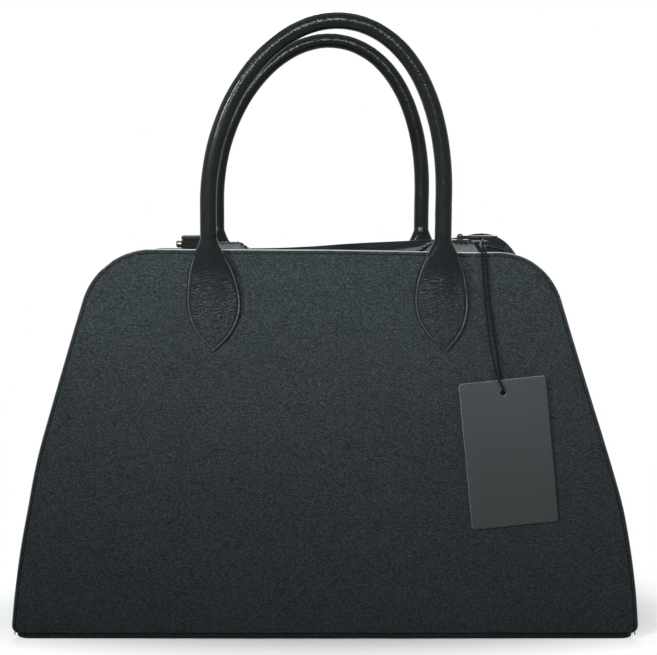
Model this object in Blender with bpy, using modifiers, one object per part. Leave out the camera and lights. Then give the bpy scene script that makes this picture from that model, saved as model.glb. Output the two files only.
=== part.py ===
"""Structured top-handle tote bag, standing open, as separate pieces.

Frame: metres, +Z up, the front faces -Y, and the origin is the middle of the base on the floor.
The front and back panels stand on a base and lean in towards the mouth. Two folded gussets join
them, a zip spans the mouth, a rolled handle rises from two tabs on each panel, and a card hangs
from the zip's right end on a thin cord.
"""

import math

import bmesh
import bpy
from mathutils import Matrix, Vector

# Body
FOOT_WIDTH = 0.3806  # a panel, edge to edge at its foot
BODY_HEIGHT = 0.2345  # floor to the panels' top edge
FOOT_DEPTH = 0.146  # outer face to outer face at the foot
MOUTH_DEPTH = 0.110  # the same at the top edge
CORNER_RADIUS = 0.043
SIDE_BEND_HEIGHT = 0.125  # below this the sides curve towards upright
SIDE_SLOPE_SHARE = 0.305  # sideways run of a side for its height, above the bend
FOOT_SLOPE_SHARE = 0.05  # the same at the foot
FOOT_CORNER_RADIUS = 0.005
PANEL_THICKNESS = 0.003
EDGE_ROUND = 0.0008
GAP = 0.0003  # between pieces that touch
WELD = 0.00001

# Base
BASE_THICKNESS = 0.003
BASE_END_INSET = 0.0028  # from a panel's edge to the end of the base
BASE_CORNER_RADIUS = 0.008
BOARD_THICKNESS = 0.002
BOARD_CORNER_RADIUS = 0.002

# Gussets and lining
GUSSET_THICKNESS = 0.0016
FLANGE_WIDTH = 0.007  # of a gusset's edge that is turned out against a panel
FLANGE_REVEAL = 0.0008  # from a panel's edge to the edge of the flange
FOLD_DEPTH = 0.022  # how far a gusset folds inwards at its top
GUSSET_TURN_SHARE = 0.5  # how much of the round corner a gusset follows
LINING_THICKNESS = 0.0008

# Facing bands inside the mouth
FACING_HALF_WIDTH = 0.108
FACING_THICKNESS = 0.0012
FACING_TOP_DROP = 0.001  # below the panels' top edge

# Zip
ZIP_LEFT = -0.076  # first and last tooth
ZIP_RIGHT = 0.096
ZIP_RISE = 0.0015  # the closed zip above the panels' top edge
ZIP_OPEN_HALF = 0.024  # from the middle to a row of teeth where it stands open
ZIP_SAG = 0.03  # how far the open rows hang down
SAG_LEFT = -0.0525  # where the rows begin to hang, which is clear of the slider's wings
SAG_RIGHT = 0.07
STRIP_LEFT = -0.072
STRIP_RIGHT = 0.0955
STRIP_THICKNESS = 0.0012
STRIP_TOP_DROP = 0.004  # a strip's fold below the panels' top edge
STRIP_SEAM = 0.006  # the part of a strip that lies against the facing
TAPE_REVEAL = 0.0052  # tape between teeth and strip
TAPE_THICKNESS = 0.0006
TOOTH_LENGTH = 0.0016
TOOTH_HEIGHT = 0.0022
BEAD_WIDTH = 0.0011
TOOTH_PITCH = 0.005
TOOTH_GAP = 0.0002  # from the middle to the closed teeth
LEFT_PARTING = 0.0012  # added to it at the left end, where the slider's post stands when closed

# Zip ends
END_LEFT_LENGTH = 0.0133
END_LEFT_HEIGHT = 0.0083
END_LEFT_FOOT_DROP = 0.0021  # its underside below the panels' top edge
END_RIGHT_LENGTH = 0.0105
END_RIGHT_HEIGHT = 0.0024
END_WIDTH = 0.016
END_ROUND = 0.0008
EYE_RADIUS = 0.0015
EYE_INSET = 0.0035  # from the right end's edge to the middle of its eye
RIVET_RADIUS = 0.0024
RIVET_LENGTH = 0.0034
RIVET_DOME = 0.0009
RIVET_DROP = 0.0012  # below the middle of the left end

# Slider and pull
SLIDER_PLACE = 0.088  # its middle, with the zip open
SLIDER_LENGTH = 0.011
SLIDER_WIDTH = 0.010
SLIDER_WING = 0.0012
SLIDER_SLOT = 0.003
POST_LENGTH = 0.0026
POST_WIDTH = 0.0018
POST_OFFSET = 0.0036  # towards the open side
LUG_RADIUS = 0.0019
LUG_WIDTH = 0.0024
LUG_BORE_RADIUS = 0.00095
LUG_SINK = 0.0004  # into the wing that carries it
PULL_LENGTH = 0.024
PULL_WIDTH = 0.0056
PULL_TIP_WIDTH = 0.0078
PULL_THICKNESS = 0.0012
PULL_SLOT_LENGTH = 0.0028
PULL_SLOT_WIDTH = 0.0032

# Handles
HANDLE_HALF_WIDTH = 0.0697  # from the middle to a leg's centreline
HANDLE_TOP = 0.369  # of the centreline
HANDLE_RADIUS = 0.005
HANDLE_WALL = 0.0014
HANDLE_STAND_OFF = 0.0065  # of the centreline from the panel's face at the top edge
HANDLE_AXIS_RISE = 0.0125  # of the place where a handle bends, above the top edge
HANDLE_STRAIGHT_RISE = 0.0275  # of the straight legs, above the top edge
HANDLE_LEAN = 0.006  # of the crown, to the right
RIGHT_SHOULDER = 0.0037  # how much fuller the right half is
HANDLE_STEPS = 28
HANDLE_SIDES = 10

# Handle tabs: shares of their length below the top edge, then of their width and depth
TAB_LENGTH = 0.06
TAB_WIDTH = 0.033
TAB_THICKNESS = 0.0026
TAB_SIDES = 16
TAB_TIP_THICKNESS = 0.0018
TAB_LEAN = 0.0025  # of a tab's tip, to the right
TAB_BOW = 0.0015  # of a tab's widest part, towards the middle
TAB_LEVEL_SHARES = (-0.05, 0.02, 0.09, 0.17, 0.26, 0.36, 0.48, 0.6, 0.7, 0.79, 0.88, 0.95, 1.0)
TAB_WIDTH_SHARES = (0.4, 0.525, 0.665, 0.785, 0.875, 0.94, 1.0, 0.975, 0.88, 0.735, 0.5, 0.245, 0.07)
TAB_DEPTH_SHARES = (0.96, 0.88, 0.77, 0.63, 0.48, 0.32, 0.15, 0.04, 0.0, 0.0, 0.0, 0.0, 0.0)
TAB_SQUARE_SHARES = (0.0, 0.1, 0.2, 0.35, 0.5, 0.7, 0.9, 1.0, 1.0, 1.0, 1.0, 1.0, 1.0)
ROUND_POWER = 2.0
SQUARE_POWER = 5.0

# Hanging card
CARD_WIDTH = 0.052
CARD_HEIGHT = 0.0885
CARD_THICKNESS = 0.001
CARD_CORNER_RADIUS = 0.002
CARD_EDGE_ROUND = 0.0002
CARD_HOLE_RADIUS = 0.0018
CARD_HOLE_DROP = 0.008  # from the card's top edge
CARD_HOLE_PLACE = 0.1065  # to the right of the middle
CARD_HOLE_HEIGHT = 0.1493
CARD_STAND_OFF = 0.0036  # from the front panel's face, at the hole
CARD_FOOT_STAND_OFF = 0.0012  # the same at the card's foot
CARD_ROLL = math.radians(5.9)

# Cord: over the edge, down to the card's hole and up again, then across to the zip's end
CORD_RADIUS = 0.00065
CORD_STEP = 0.0038
CORD_TURN = math.radians(22)
CORD_FINE_STEPS = 24
DROP_ROUTE = (
    (0.0936, -0.0535, 0.2366),
    (0.0936, -0.0554, 0.2360),
    (0.0937, -0.0566, 0.2344),
    (0.0939, -0.0569, 0.2310),
    (0.0951, -0.0586, 0.2120),
    (0.0984, -0.0622, 0.1820),
    (0.1026, -0.0664, 0.1605),
    (0.1061, -0.06775, 0.15275),
    (0.1064, -0.06694, 0.15090),
    (0.1065, -0.06514, 0.15015),
    (0.1066, -0.06330, 0.15090),
    (0.1065, -0.06252, 0.15275),
    (0.1055, -0.06235, 0.1580),
    (0.1021, -0.0610, 0.1800),
    (0.0982, -0.0586, 0.2080),
    (0.0962, -0.0569, 0.2300),
    (0.0960, -0.0566, 0.2344),
    (0.0960, -0.0554, 0.2360),
    (0.0960, -0.0535, 0.2366),
)
TIE_ROUTE = (
    (0.0936, -0.0532, 0.2366),
    (0.0944, -0.0440, 0.2366),
    (0.0970, -0.0280, 0.2372),
    (0.1000, -0.0150, 0.2382),
    (0.1013, -0.0100, 0.2386),
    (0.10155, -0.0071, 0.2386),
    (0.10155, -0.00526, 0.23784),
    (0.10155, -0.0045, 0.2360),
    (0.10155, -0.00526, 0.23416),
    (0.10155, -0.0071, 0.2334),
    (0.1013, -0.0100, 0.2332),
    (0.1005, -0.0150, 0.2332),
    (0.0985, -0.0280, 0.2340),
    (0.0966, -0.0440, 0.2358),
    (0.0960, -0.0532, 0.2366),
)

# Shapes of the facets
SIDE_STEPS = 9
ARC_STEPS = 5
CORNER_STEPS = 10
FOLD_STEPS = 8
ZIP_STEPS = 24

LEATHER = ((0.022, 0.026, 0.029, 1.0), 0.5, 0.0)
CLOTH = ((0.03, 0.03, 0.032, 1.0), 0.85, 0.0)
METAL = ((0.35, 0.33, 0.3, 1.0), 0.3, 1.0)
CARD_STOCK = ((0.035, 0.042, 0.046, 1.0), 0.6, 0.0)


def new_collection(name, hidden=False):
    collection = bpy.data.collections.new(name)
    collection.hide_render = hidden
    bpy.context.scene.collection.children.link(collection)
    return collection


def clear_scene():
    for thing in list(bpy.data.objects):
        bpy.data.objects.remove(thing)


clear_scene()
BAG = new_collection("tote_bag")
CUTTERS = new_collection("cutters", hidden=True)


def finish(obj, look):
    """Gives a piece its own material."""
    colour, roughness, metallic = look
    material = bpy.data.materials.new(obj.name)
    material.use_nodes = True
    shader = material.node_tree.nodes["Principled BSDF"]
    shader.inputs["Base Color"].default_value = colour
    shader.inputs["Roughness"].default_value = roughness
    shader.inputs["Metallic"].default_value = metallic
    obj.data.materials.append(material)
    return obj


def add_mesh(name, points, faces, collection=BAG):
    mesh = bpy.data.meshes.new(name)
    mesh.from_pydata([tuple(p) for p in points], [], faces)
    obj = bpy.data.objects.new(name, mesh)
    collection.objects.link(obj)
    return obj


def smooth(obj, angle=math.radians(40)):
    obj.data.shade_smooth()
    obj.data.set_sharp_from_angle(angle=angle)
    return obj


def bevel(obj, width, segments=2):
    modifier = obj.modifiers.new("rounded_edges", "BEVEL")
    modifier.width = width
    modifier.segments = segments
    modifier.limit_method = "ANGLE"
    modifier.angle_limit = math.radians(50)
    return obj


def solidify(obj, thickness, offset):
    modifier = obj.modifiers.new("thickness", "SOLIDIFY")
    modifier.thickness = thickness
    modifier.offset = offset
    modifier.use_even_offset = True
    return obj


def boolean(obj, other, operation):
    modifier = obj.modifiers.new(operation.lower(), "BOOLEAN")
    modifier.operation = operation
    modifier.object = other
    modifier.solver = "EXACT"
    return obj


def box(name, size, middle, collection=BAG):
    mesh = bpy.data.meshes.new(name)
    shape = bmesh.new()
    bmesh.ops.create_cube(shape, size=1.0)
    bmesh.ops.scale(shape, vec=size, verts=shape.verts)
    bmesh.ops.translate(shape, vec=middle, verts=shape.verts)
    shape.to_mesh(mesh)
    shape.free()
    obj = bpy.data.objects.new(name, mesh)
    collection.objects.link(obj)
    return obj


def rod_cutter(name, radius, length, matrix, sides=16):
    """A cylinder along the matrix's Z, for a Boolean."""
    mesh = bpy.data.meshes.new(name)
    shape = bmesh.new()
    bmesh.ops.create_cone(
        shape, cap_ends=True, segments=sides, radius1=radius, radius2=radius, depth=length, matrix=matrix
    )
    shape.to_mesh(mesh)
    shape.free()
    obj = bpy.data.objects.new(name, mesh)
    CUTTERS.objects.link(obj)
    obj.hide_render = True
    obj.display_type = "WIRE"
    return obj


def grid_faces(rows, columns, wrap=False):
    last = columns if wrap else columns - 1
    faces = []
    for i in range(rows - 1):
        for j in range(last):
            k = (j + 1) % columns
            faces.append((i * columns + j, i * columns + k, (i + 1) * columns + k, (i + 1) * columns + j))
    return faces


def sheet(name, rows, look):
    """An open surface through rows of points."""
    points = [p for row in rows for p in row]
    obj = add_mesh(name, points, grid_faces(len(rows), len(rows[0])))
    return finish(smooth(obj), look)


def loft(name, rings, look, collection=BAG):
    """A closed solid through rings of points that run clockwise about the way from first to last."""
    count = len(rings[0])
    points = [p for ring in rings for p in ring]
    faces = grid_faces(len(rings), count, wrap=True)
    faces.append(tuple(reversed(range(count))))
    faces.append(tuple(range(len(points) - count, len(points))))
    obj = add_mesh(name, points, faces, collection)
    shape = bmesh.new()
    shape.from_mesh(obj.data)
    bmesh.ops.recalc_face_normals(shape, faces=shape.faces)
    shape.to_mesh(obj.data)
    shape.free()
    return finish(smooth(obj), look)


def welded_mesh(curve_object):
    """The curve as a mesh object of the same name and place, with its caps joined to its sides."""
    graph = bpy.context.evaluated_depsgraph_get()
    mesh = bpy.data.meshes.new_from_object(curve_object.evaluated_get(graph))
    shape = bmesh.new()
    shape.from_mesh(mesh)
    bmesh.ops.remove_doubles(shape, verts=shape.verts, dist=WELD)
    shape.to_mesh(mesh)
    shape.free()
    name, place = curve_object.name, curve_object.matrix_world.copy()
    bpy.data.objects.remove(curve_object)
    obj = bpy.data.objects.new(name, mesh)
    obj.matrix_world = place
    BAG.objects.link(obj)
    return obj


def flat_piece(name, outlines, thickness, place, look, rounding=0.0):
    """A plate in its own XY plane: the first outline, with the others as holes."""
    curve = bpy.data.curves.new(name, "CURVE")
    curve.dimensions = "2D"
    curve.fill_mode = "BOTH"
    curve.extrude = thickness / 2
    for outline in outlines:
        spline = curve.splines.new("POLY")
        spline.points.add(len(outline) - 1)
        for point, (x, y) in zip(spline.points, outline):
            point.co = (x, y, 0, 1)
        spline.use_cyclic_u = True
    drawn = bpy.data.objects.new(name, curve)
    BAG.objects.link(drawn)
    drawn.matrix_world = place
    bpy.context.view_layer.update()
    obj = finish(smooth(welded_mesh(drawn)), look)
    if rounding:
        bevel(obj, rounding)
    return obj


def arc(middle, radius, start, end, steps):
    return [
        (
            middle[0] + radius * math.cos(start + (end - start) * i / steps),
            middle[1] + radius * math.sin(start + (end - start) * i / steps),
        )
        for i in range(steps + 1)
    ]


def rounded_rectangle(width, height, radius, steps=4):
    x, y, quarter = width / 2 - radius, height / 2 - radius, math.pi / 2
    points = []
    for i, middle in enumerate(((x, y), (-x, y), (-x, -y), (x, -y))):
        points += arc(middle, radius, quarter * i, quarter * (i + 1), steps)
    return points


# Where the body's faces lie

def face_y(z):
    """How far the panels' outer faces are from the middle at a height."""
    return FOOT_DEPTH / 2 + (MOUTH_DEPTH - FOOT_DEPTH) / 2 * z / BODY_HEIGHT


def inner_y(z):
    """The same for what lies against the panels' inner faces."""
    return face_y(z) - PANEL_THICKNESS / math.cos(LEAN) - GAP


def side_x(z):
    bend = min(z, SIDE_BEND_HEIGHT)
    growth = (SIDE_SLOPE_SHARE - FOOT_SLOPE_SHARE) / SIDE_BEND_HEIGHT
    run = FOOT_SLOPE_SHARE * bend + growth * bend * bend / 2
    return FOOT_WIDTH / 2 - run - SIDE_SLOPE_SHARE * (z - bend)


def side_slope(z):
    return FOOT_SLOPE_SHARE + (SIDE_SLOPE_SHARE - FOOT_SLOPE_SHARE) * min(z / SIDE_BEND_HEIGHT, 1)


LEAN = math.atan((FOOT_DEPTH - MOUTH_DEPTH) / 2 / BODY_HEIGHT)
PANEL_FOOT = BASE_THICKNESS + GAP
BOARD_TOP = PANEL_FOOT + BOARD_THICKNESS
LINING_FOOT = BOARD_TOP + GAP
SIDE_ANGLE = math.atan(SIDE_SLOPE_SHARE)
CORNER_START = BODY_HEIGHT - CORNER_RADIUS * (1 - math.sin(SIDE_ANGLE))
CORNER_MIDDLE = (side_x(CORNER_START) - CORNER_RADIUS * math.cos(SIDE_ANGLE), BODY_HEIGHT - CORNER_RADIUS)


def side_path():
    """Points up a panel's right edge with the way inwards at each, from the foot into the corner."""
    heights = [PANEL_FOOT] + [
        LINING_FOOT + (CORNER_START - LINING_FOOT) * i / SIDE_STEPS for i in range(SIDE_STEPS + 1)
    ]
    path = []
    for z in heights:
        slope = side_slope(z) if z > LINING_FOOT else 0
        length = math.hypot(1, slope)
        path.append((side_x(z), z, -1 / length, -slope / length))
    turn = (math.pi / 2 - SIDE_ANGLE) * GUSSET_TURN_SHARE
    for i in range(1, ARC_STEPS + 1):
        angle = SIDE_ANGLE + turn * i / ARC_STEPS
        x, z = CORNER_MIDDLE
        away = (math.cos(angle), math.sin(angle))
        path.append((x + CORNER_RADIUS * away[0], z + CORNER_RADIUS * away[1], -away[0], -away[1]))
    return path


def panel_outline():
    """A panel's outline as X and height, from the foot's right corner round to the left."""
    corner = (side_x(PANEL_FOOT) - FOOT_CORNER_RADIUS, PANEL_FOOT + FOOT_CORNER_RADIUS)
    half = arc(corner, FOOT_CORNER_RADIUS, -math.pi / 2, 0, 3)
    first = half[-1][1]
    steps = SIDE_STEPS + 2
    half += [
        (side_x(z), z)
        for z in (first + (CORNER_START - first) * i / steps for i in range(1, steps))
    ]
    half += arc(CORNER_MIDDLE, CORNER_RADIUS, SIDE_ANGLE, math.pi / 2, CORNER_STEPS)
    return half + [(-x, z) for x, z in reversed(half)]


def panel_place(thickness, behind):
    """Where a plate with its outer face in the front panel's leaning face lies."""
    normal = Vector((0, -math.cos(LEAN), -math.sin(LEAN)))
    face = Vector((0, -face_y(0), 0))
    turn = Matrix.Rotation(math.pi / 2 - LEAN, 4, "X")
    place = Matrix.Translation(face - normal * (thickness / 2)) @ turn
    return Matrix.Rotation(math.pi, 4, "Z") @ place if behind else place


def on_panel(points):
    """X and height to the panel's own plane."""
    return [(x, z / math.cos(LEAN)) for x, z in points]


def panel(name, behind):
    place = panel_place(PANEL_THICKNESS, behind)
    flat_piece(name, [on_panel(panel_outline())], PANEL_THICKNESS, place, LEATHER, EDGE_ROUND)


def base():
    width = FOOT_WIDTH - 2 * BASE_END_INSET
    place = Matrix.Translation((0, 0, BASE_THICKNESS / 2))
    outline = rounded_rectangle(width, FOOT_DEPTH, BASE_CORNER_RADIUS)
    flat_piece("base_panel", [outline], BASE_THICKNESS, place, LEATHER, EDGE_ROUND)
    x = side_x(BOARD_TOP) - FLANGE_WIDTH - GUSSET_THICKNESS - GAP
    place = Matrix.Translation((0, 0, PANEL_FOOT + BOARD_THICKNESS / 2))
    outline = rounded_rectangle(2 * x, 2 * inner_y(BOARD_TOP), BOARD_CORNER_RADIUS)
    flat_piece("base_board", [outline], BOARD_THICKNESS, place, CARD_STOCK)


def fold_row(x, z, inward_x, inward_z, inset, fold):
    """Points across a gusset's inner side, from front to back."""
    row = []
    for j in range(FOLD_STEPS + 1):
        across = 2 * j / FOLD_STEPS - 1
        depth = inset + fold * (1 + math.cos(math.pi * across)) / 2
        height = z + inward_z * depth
        row.append(Vector((x + inward_x * depth, across * inner_y(height), height)))
    return row


def fold_at(z):
    top = CORNER_START + (BODY_HEIGHT - CORNER_START) * GUSSET_TURN_SHARE
    return FOLD_DEPTH * (z / top) ** 2


def gusset(name, side):
    rows = []
    for x, z, inward_x, inward_z in side_path():
        wall = fold_row(x, z, inward_x, inward_z, FLANGE_WIDTH + GUSSET_THICKNESS, fold_at(z))
        edge = z + inward_z * FLANGE_REVEAL
        rim = Vector((x + inward_x * FLANGE_REVEAL, -inner_y(edge), edge))
        row = [rim, *wall, Vector((rim.x, -rim.y, rim.z))]
        if side < 0:
            row = [Vector((-p.x, p.y, p.z)) for p in reversed(row)]
        rows.append(row)
    solidify(sheet(name, rows, LEATHER), GUSSET_THICKNESS, 1)


def lining():
    """The cloth bag inside: an open tub against the panels, gussets and board."""
    inset = FLANGE_WIDTH + GUSSET_THICKNESS + GAP
    rings = []
    for x, z, inward_x, inward_z in side_path()[1:]:
        right = fold_row(x, z, inward_x, inward_z, inset, fold_at(z))
        left = [Vector((-p.x, -p.y, p.z)) for p in right]
        rings.append(right + left)
    count = len(rings[0])
    points = [p for ring in rings for p in ring]
    faces = grid_faces(len(rings), count, wrap=True) + [tuple(reversed(range(count)))]
    obj = finish(smooth(add_mesh("lining", points, faces)), CLOTH)
    solidify(obj, LINING_THICKNESS, -1)


def lining_top():
    """The height of the lining's rim along the panels."""
    x, z, inward_x, inward_z = side_path()[-1]
    return z + inward_z * (FLANGE_WIDTH + GUSSET_THICKNESS + GAP)


def facing(name, behind):
    foot, top = lining_top() + GAP, BODY_HEIGHT - FACING_TOP_DROP
    wide = FACING_HALF_WIDTH
    outline = [(-wide, foot), (wide, foot), (wide, top), (-wide, top)]
    depth = PANEL_THICKNESS + GAP
    place = panel_place(2 * depth + FACING_THICKNESS, behind)
    flat_piece(name, [on_panel(outline)], FACING_THICKNESS, place, LEATHER)


# Zip

def parted(x):
    """0 at the zip's ends, 1 in the middle where its two sides stand furthest apart."""
    middle, half = (ZIP_LEFT + ZIP_RIGHT) / 2, (ZIP_RIGHT - ZIP_LEFT) / 2
    return (1 + math.cos(math.pi * (x - middle) / half)) / 2


def teeth_y(x):
    closed = TOOTH_GAP + LEFT_PARTING * (ZIP_RIGHT - x) / (ZIP_RIGHT - ZIP_LEFT)
    return closed + ZIP_OPEN_HALF * parted(x)


def zip_z(x):
    """The rows' height: level near the ends and hanging between."""
    run = (x - SAG_LEFT) / (SAG_RIGHT - SAG_LEFT)
    hang = math.sin(math.pi * run) if 0 < run < 1 else 0
    return BODY_HEIGHT + ZIP_RISE - ZIP_SAG * hang


def strip_y(x):
    """Where the leather strip beside the tape ends."""
    return teeth_y(x) + TOOTH_LENGTH + BEAD_WIDTH + TAPE_REVEAL


def spread(first, last, steps):
    return [first + (last - first) * i / steps for i in range(steps + 1)]


def facing_y(z):
    return inner_y(z) - FACING_THICKNESS / math.cos(LEAN) - GAP


def zip_strip(name, way):
    """A leather strip from the facing to the tape; way is -1 in front and 1 behind."""
    fold, across = BODY_HEIGHT - STRIP_TOP_DROP, 4
    rows = []
    for x in spread(STRIP_LEFT, STRIP_RIGHT, ZIP_STEPS):
        row = [Vector((x, way * facing_y(fold - STRIP_SEAM), fold - STRIP_SEAM))]
        for j in range(across + 1):
            share = j / across
            y = facing_y(fold) + (strip_y(x) - facing_y(fold)) * share
            row.append(Vector((x, way * y, fold + (zip_z(x) - fold) * share)))
        rows.append(row)
    solidify(sheet(name, rows, LEATHER), STRIP_THICKNESS, -way)


def zip_tape(name, way):
    rings = []
    for x in spread(ZIP_LEFT, ZIP_RIGHT, ZIP_STEPS):
        near = teeth_y(x) + TOOTH_LENGTH + BEAD_WIDTH + GAP
        far = strip_y(x) - GAP
        top = zip_z(x) - (STRIP_THICKNESS - TAPE_THICKNESS) / 2
        low = top - TAPE_THICKNESS
        section = ((near, low), (far, low), (far, top), (near, top))
        rings.append([Vector((x, way * y, z)) for y, z in section])
    loft(name, rings, CLOTH)


def zip_teeth(name, way, stagger):
    """One row: a bead with teeth standing on it towards the other row."""
    count = int((ZIP_RIGHT - ZIP_LEFT) / TOOTH_PITCH)
    places = [(ZIP_LEFT, False)]
    for i in range(count):
        start = ZIP_LEFT + (i + stagger) * TOOTH_PITCH
        end = start + TOOTH_PITCH / 2
        places += [(start, False), (start, True), (end, True), (end, False)]
    places.append((ZIP_RIGHT, False))
    rings, z_shift = [], STRIP_THICKNESS / 2
    for x, tooth in places:
        near = teeth_y(x) + (0 if tooth else TOOTH_LENGTH)
        far = teeth_y(x) + TOOTH_LENGTH + BEAD_WIDTH
        low = zip_z(x) - z_shift - TOOTH_HEIGHT / 2
        high = low + TOOTH_HEIGHT
        section = ((near, low), (far, low), (far, high), (near, high))
        rings.append([Vector((x, way * y, z)) for y, z in section])
    loft(name, rings, METAL)


def zip_ends():
    foot = BODY_HEIGHT - END_LEFT_FOOT_DROP
    middle = (ZIP_LEFT - GAP - END_LEFT_LENGTH / 2, 0, foot + END_LEFT_HEIGHT / 2)
    left = box("left_zip_end", (END_LEFT_LENGTH, END_WIDTH, END_LEFT_HEIGHT), middle)
    finish(bevel(left, END_ROUND), LEATHER)

    place = ZIP_RIGHT + GAP + END_RIGHT_LENGTH / 2
    height = BODY_HEIGHT + ZIP_RISE
    right = box("right_zip_end", (END_RIGHT_LENGTH, END_WIDTH, END_RIGHT_HEIGHT), (place, 0, height))
    eye = Matrix.Translation((place, EYE_INSET - END_WIDTH / 2, height))
    cutter = rod_cutter("eye_cutter", EYE_RADIUS, 2 * END_RIGHT_HEIGHT, eye)
    boolean(finish(bevel(right, END_ROUND), LEATHER), cutter, "DIFFERENCE")

    end = ZIP_LEFT - 2 * GAP - END_LEFT_LENGTH
    rivet_z = middle[2] - RIVET_DROP
    profile = (
        (0, RIVET_LENGTH),
        (RIVET_RADIUS - RIVET_DOME, RIVET_LENGTH),
        (RIVET_RADIUS, RIVET_LENGTH - RIVET_DOME),
        (RIVET_RADIUS, 0),
        (0, 0),
    )
    rivet = add_mesh("left_zip_rivet", [], [])
    shape = bmesh.new()
    verts = [shape.verts.new((radius, 0, rise)) for radius, rise in profile]
    for first, second in zip(verts, verts[1:]):
        shape.edges.new((first, second))
    shape.to_mesh(rivet.data)
    shape.free()
    turned = rivet.modifiers.new("turned", "SCREW")
    turned.axis = "Z"
    turned.steps = turned.render_steps = 16
    turned.use_merge_vertices = True
    turned.merge_threshold = WELD
    rivet.matrix_world = Matrix.Translation((end, 0, rivet_z)) @ Matrix.Rotation(-math.pi / 2, 4, "Y")
    finish(rivet, METAL)


def slider_z():
    """The middle of the zip's thickness where it is closed."""
    return BODY_HEIGHT + ZIP_RISE - STRIP_THICKNESS / 2


def pin_z():
    """The height of the bar that the pull turns on."""
    return slider_z() + SLIDER_SLOT / 2 + SLIDER_WING + LUG_RADIUS


def slider():
    reach = (SLIDER_SLOT + SLIDER_WING) / 2
    wing = (SLIDER_LENGTH, SLIDER_WIDTH, SLIDER_WING)
    body = box("zip_slider", wing, (SLIDER_PLACE, 0, slider_z() + reach))
    lower = box("slider_lower_wing", wing, (SLIDER_PLACE, 0, slider_z() - reach), CUTTERS)
    post_height = SLIDER_SLOT + SLIDER_WING
    post = box(
        "slider_post",
        (POST_LENGTH, POST_WIDTH, post_height),
        (SLIDER_PLACE - POST_OFFSET, 0, slider_z()),
        CUTTERS,
    )
    top = slider_z() + reach + SLIDER_WING / 2 - LUG_SINK
    crown = arc((0, pin_z()), LUG_RADIUS, 0, math.pi, 8)
    outline = [(LUG_RADIUS, top), *crown, (-LUG_RADIUS, top)]
    lug = loft(
        "slider_lug",
        [[Vector((SLIDER_PLACE + x, y, z)) for x, z in outline] for y in (-LUG_WIDTH / 2, LUG_WIDTH / 2)],
        METAL,
        CUTTERS,
    )
    turn = Matrix.Translation((SLIDER_PLACE, 0, pin_z())) @ Matrix.Rotation(math.pi / 2, 4, "X")
    bore = rod_cutter("lug_bore_cutter", LUG_BORE_RADIUS, 2 * LUG_WIDTH, turn)
    for helper in (lower, post, lug):
        helper.hide_render = True
        helper.display_type = "WIRE"
    for helper in (post, lower, lug):
        boolean(body, helper, "UNION")
    boolean(body, bore, "DIFFERENCE")
    finish(body, METAL)


def pull():
    """A plate with a slot at one end, whose end bar turns in the slider's lug."""
    bar = PULL_THICKNESS
    start = -bar / 2
    half, tip = PULL_WIDTH / 2, PULL_TIP_WIDTH / 2
    neck = PULL_LENGTH / 2
    plate = [(start, -half), (neck, -half)]
    plate += arc((PULL_LENGTH - tip, 0), tip, -math.pi / 2, math.pi / 2, 10)
    plate += [(neck, half), (start, half)]
    inside = (start + bar, start + bar + PULL_SLOT_LENGTH)
    wide = PULL_SLOT_WIDTH / 2
    slot = [(inside[0], -wide), (inside[1], -wide), (inside[1], wide), (inside[0], wide)]
    place = Matrix.Translation((SLIDER_PLACE, 0, pin_z()))
    flat_piece("zip_pull", [plate, slot], PULL_THICKNESS, place, METAL)


# Handles

def handle_axis():
    """The height and the distance from the middle of the line that a handle bends about."""
    return BODY_HEIGHT + HANDLE_AXIS_RISE, face_y(BODY_HEIGHT) + HANDLE_STAND_OFF


def handle_line(start):
    """A handle's centreline as X and height: up the left leg from a height, over, and down the right."""
    spring = BODY_HEIGHT + HANDLE_STRAIGHT_RISE
    line = [(-HANDLE_HALF_WIDTH, start)]
    for i in range(HANDLE_STEPS + 1):
        angle = math.pi * (1 - i / HANDLE_STEPS)
        rise = math.sin(angle)
        run = math.cos(angle)
        x = HANDLE_HALF_WIDTH * run + HANDLE_LEAN * rise * rise + RIGHT_SHOULDER * rise * max(run, 0)
        line.append((x, spring + (HANDLE_TOP - spring) * rise))
    return line + [(HANDLE_HALF_WIDTH, start)]


def tube_rings(line, radii, y):
    """Rings square to a line in an upright plane."""
    rings = []
    for i, ((x, z), radius) in enumerate(zip(line, radii)):
        before, after = line[max(i - 1, 0)], line[min(i + 1, len(line) - 1)]
        along = Vector((after[0] - before[0], 0, after[1] - before[1])).normalized()
        across = Vector((along.z, 0, -along.x))
        ring = []
        for j in range(HANDLE_SIDES):
            angle = 2 * math.pi * j / HANDLE_SIDES
            side = across * math.cos(angle) + Vector((0, 1, 0)) * math.sin(angle)
            ring.append(Vector((x, y, z)) + side * radius)
        rings.append(ring)
    return rings


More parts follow.
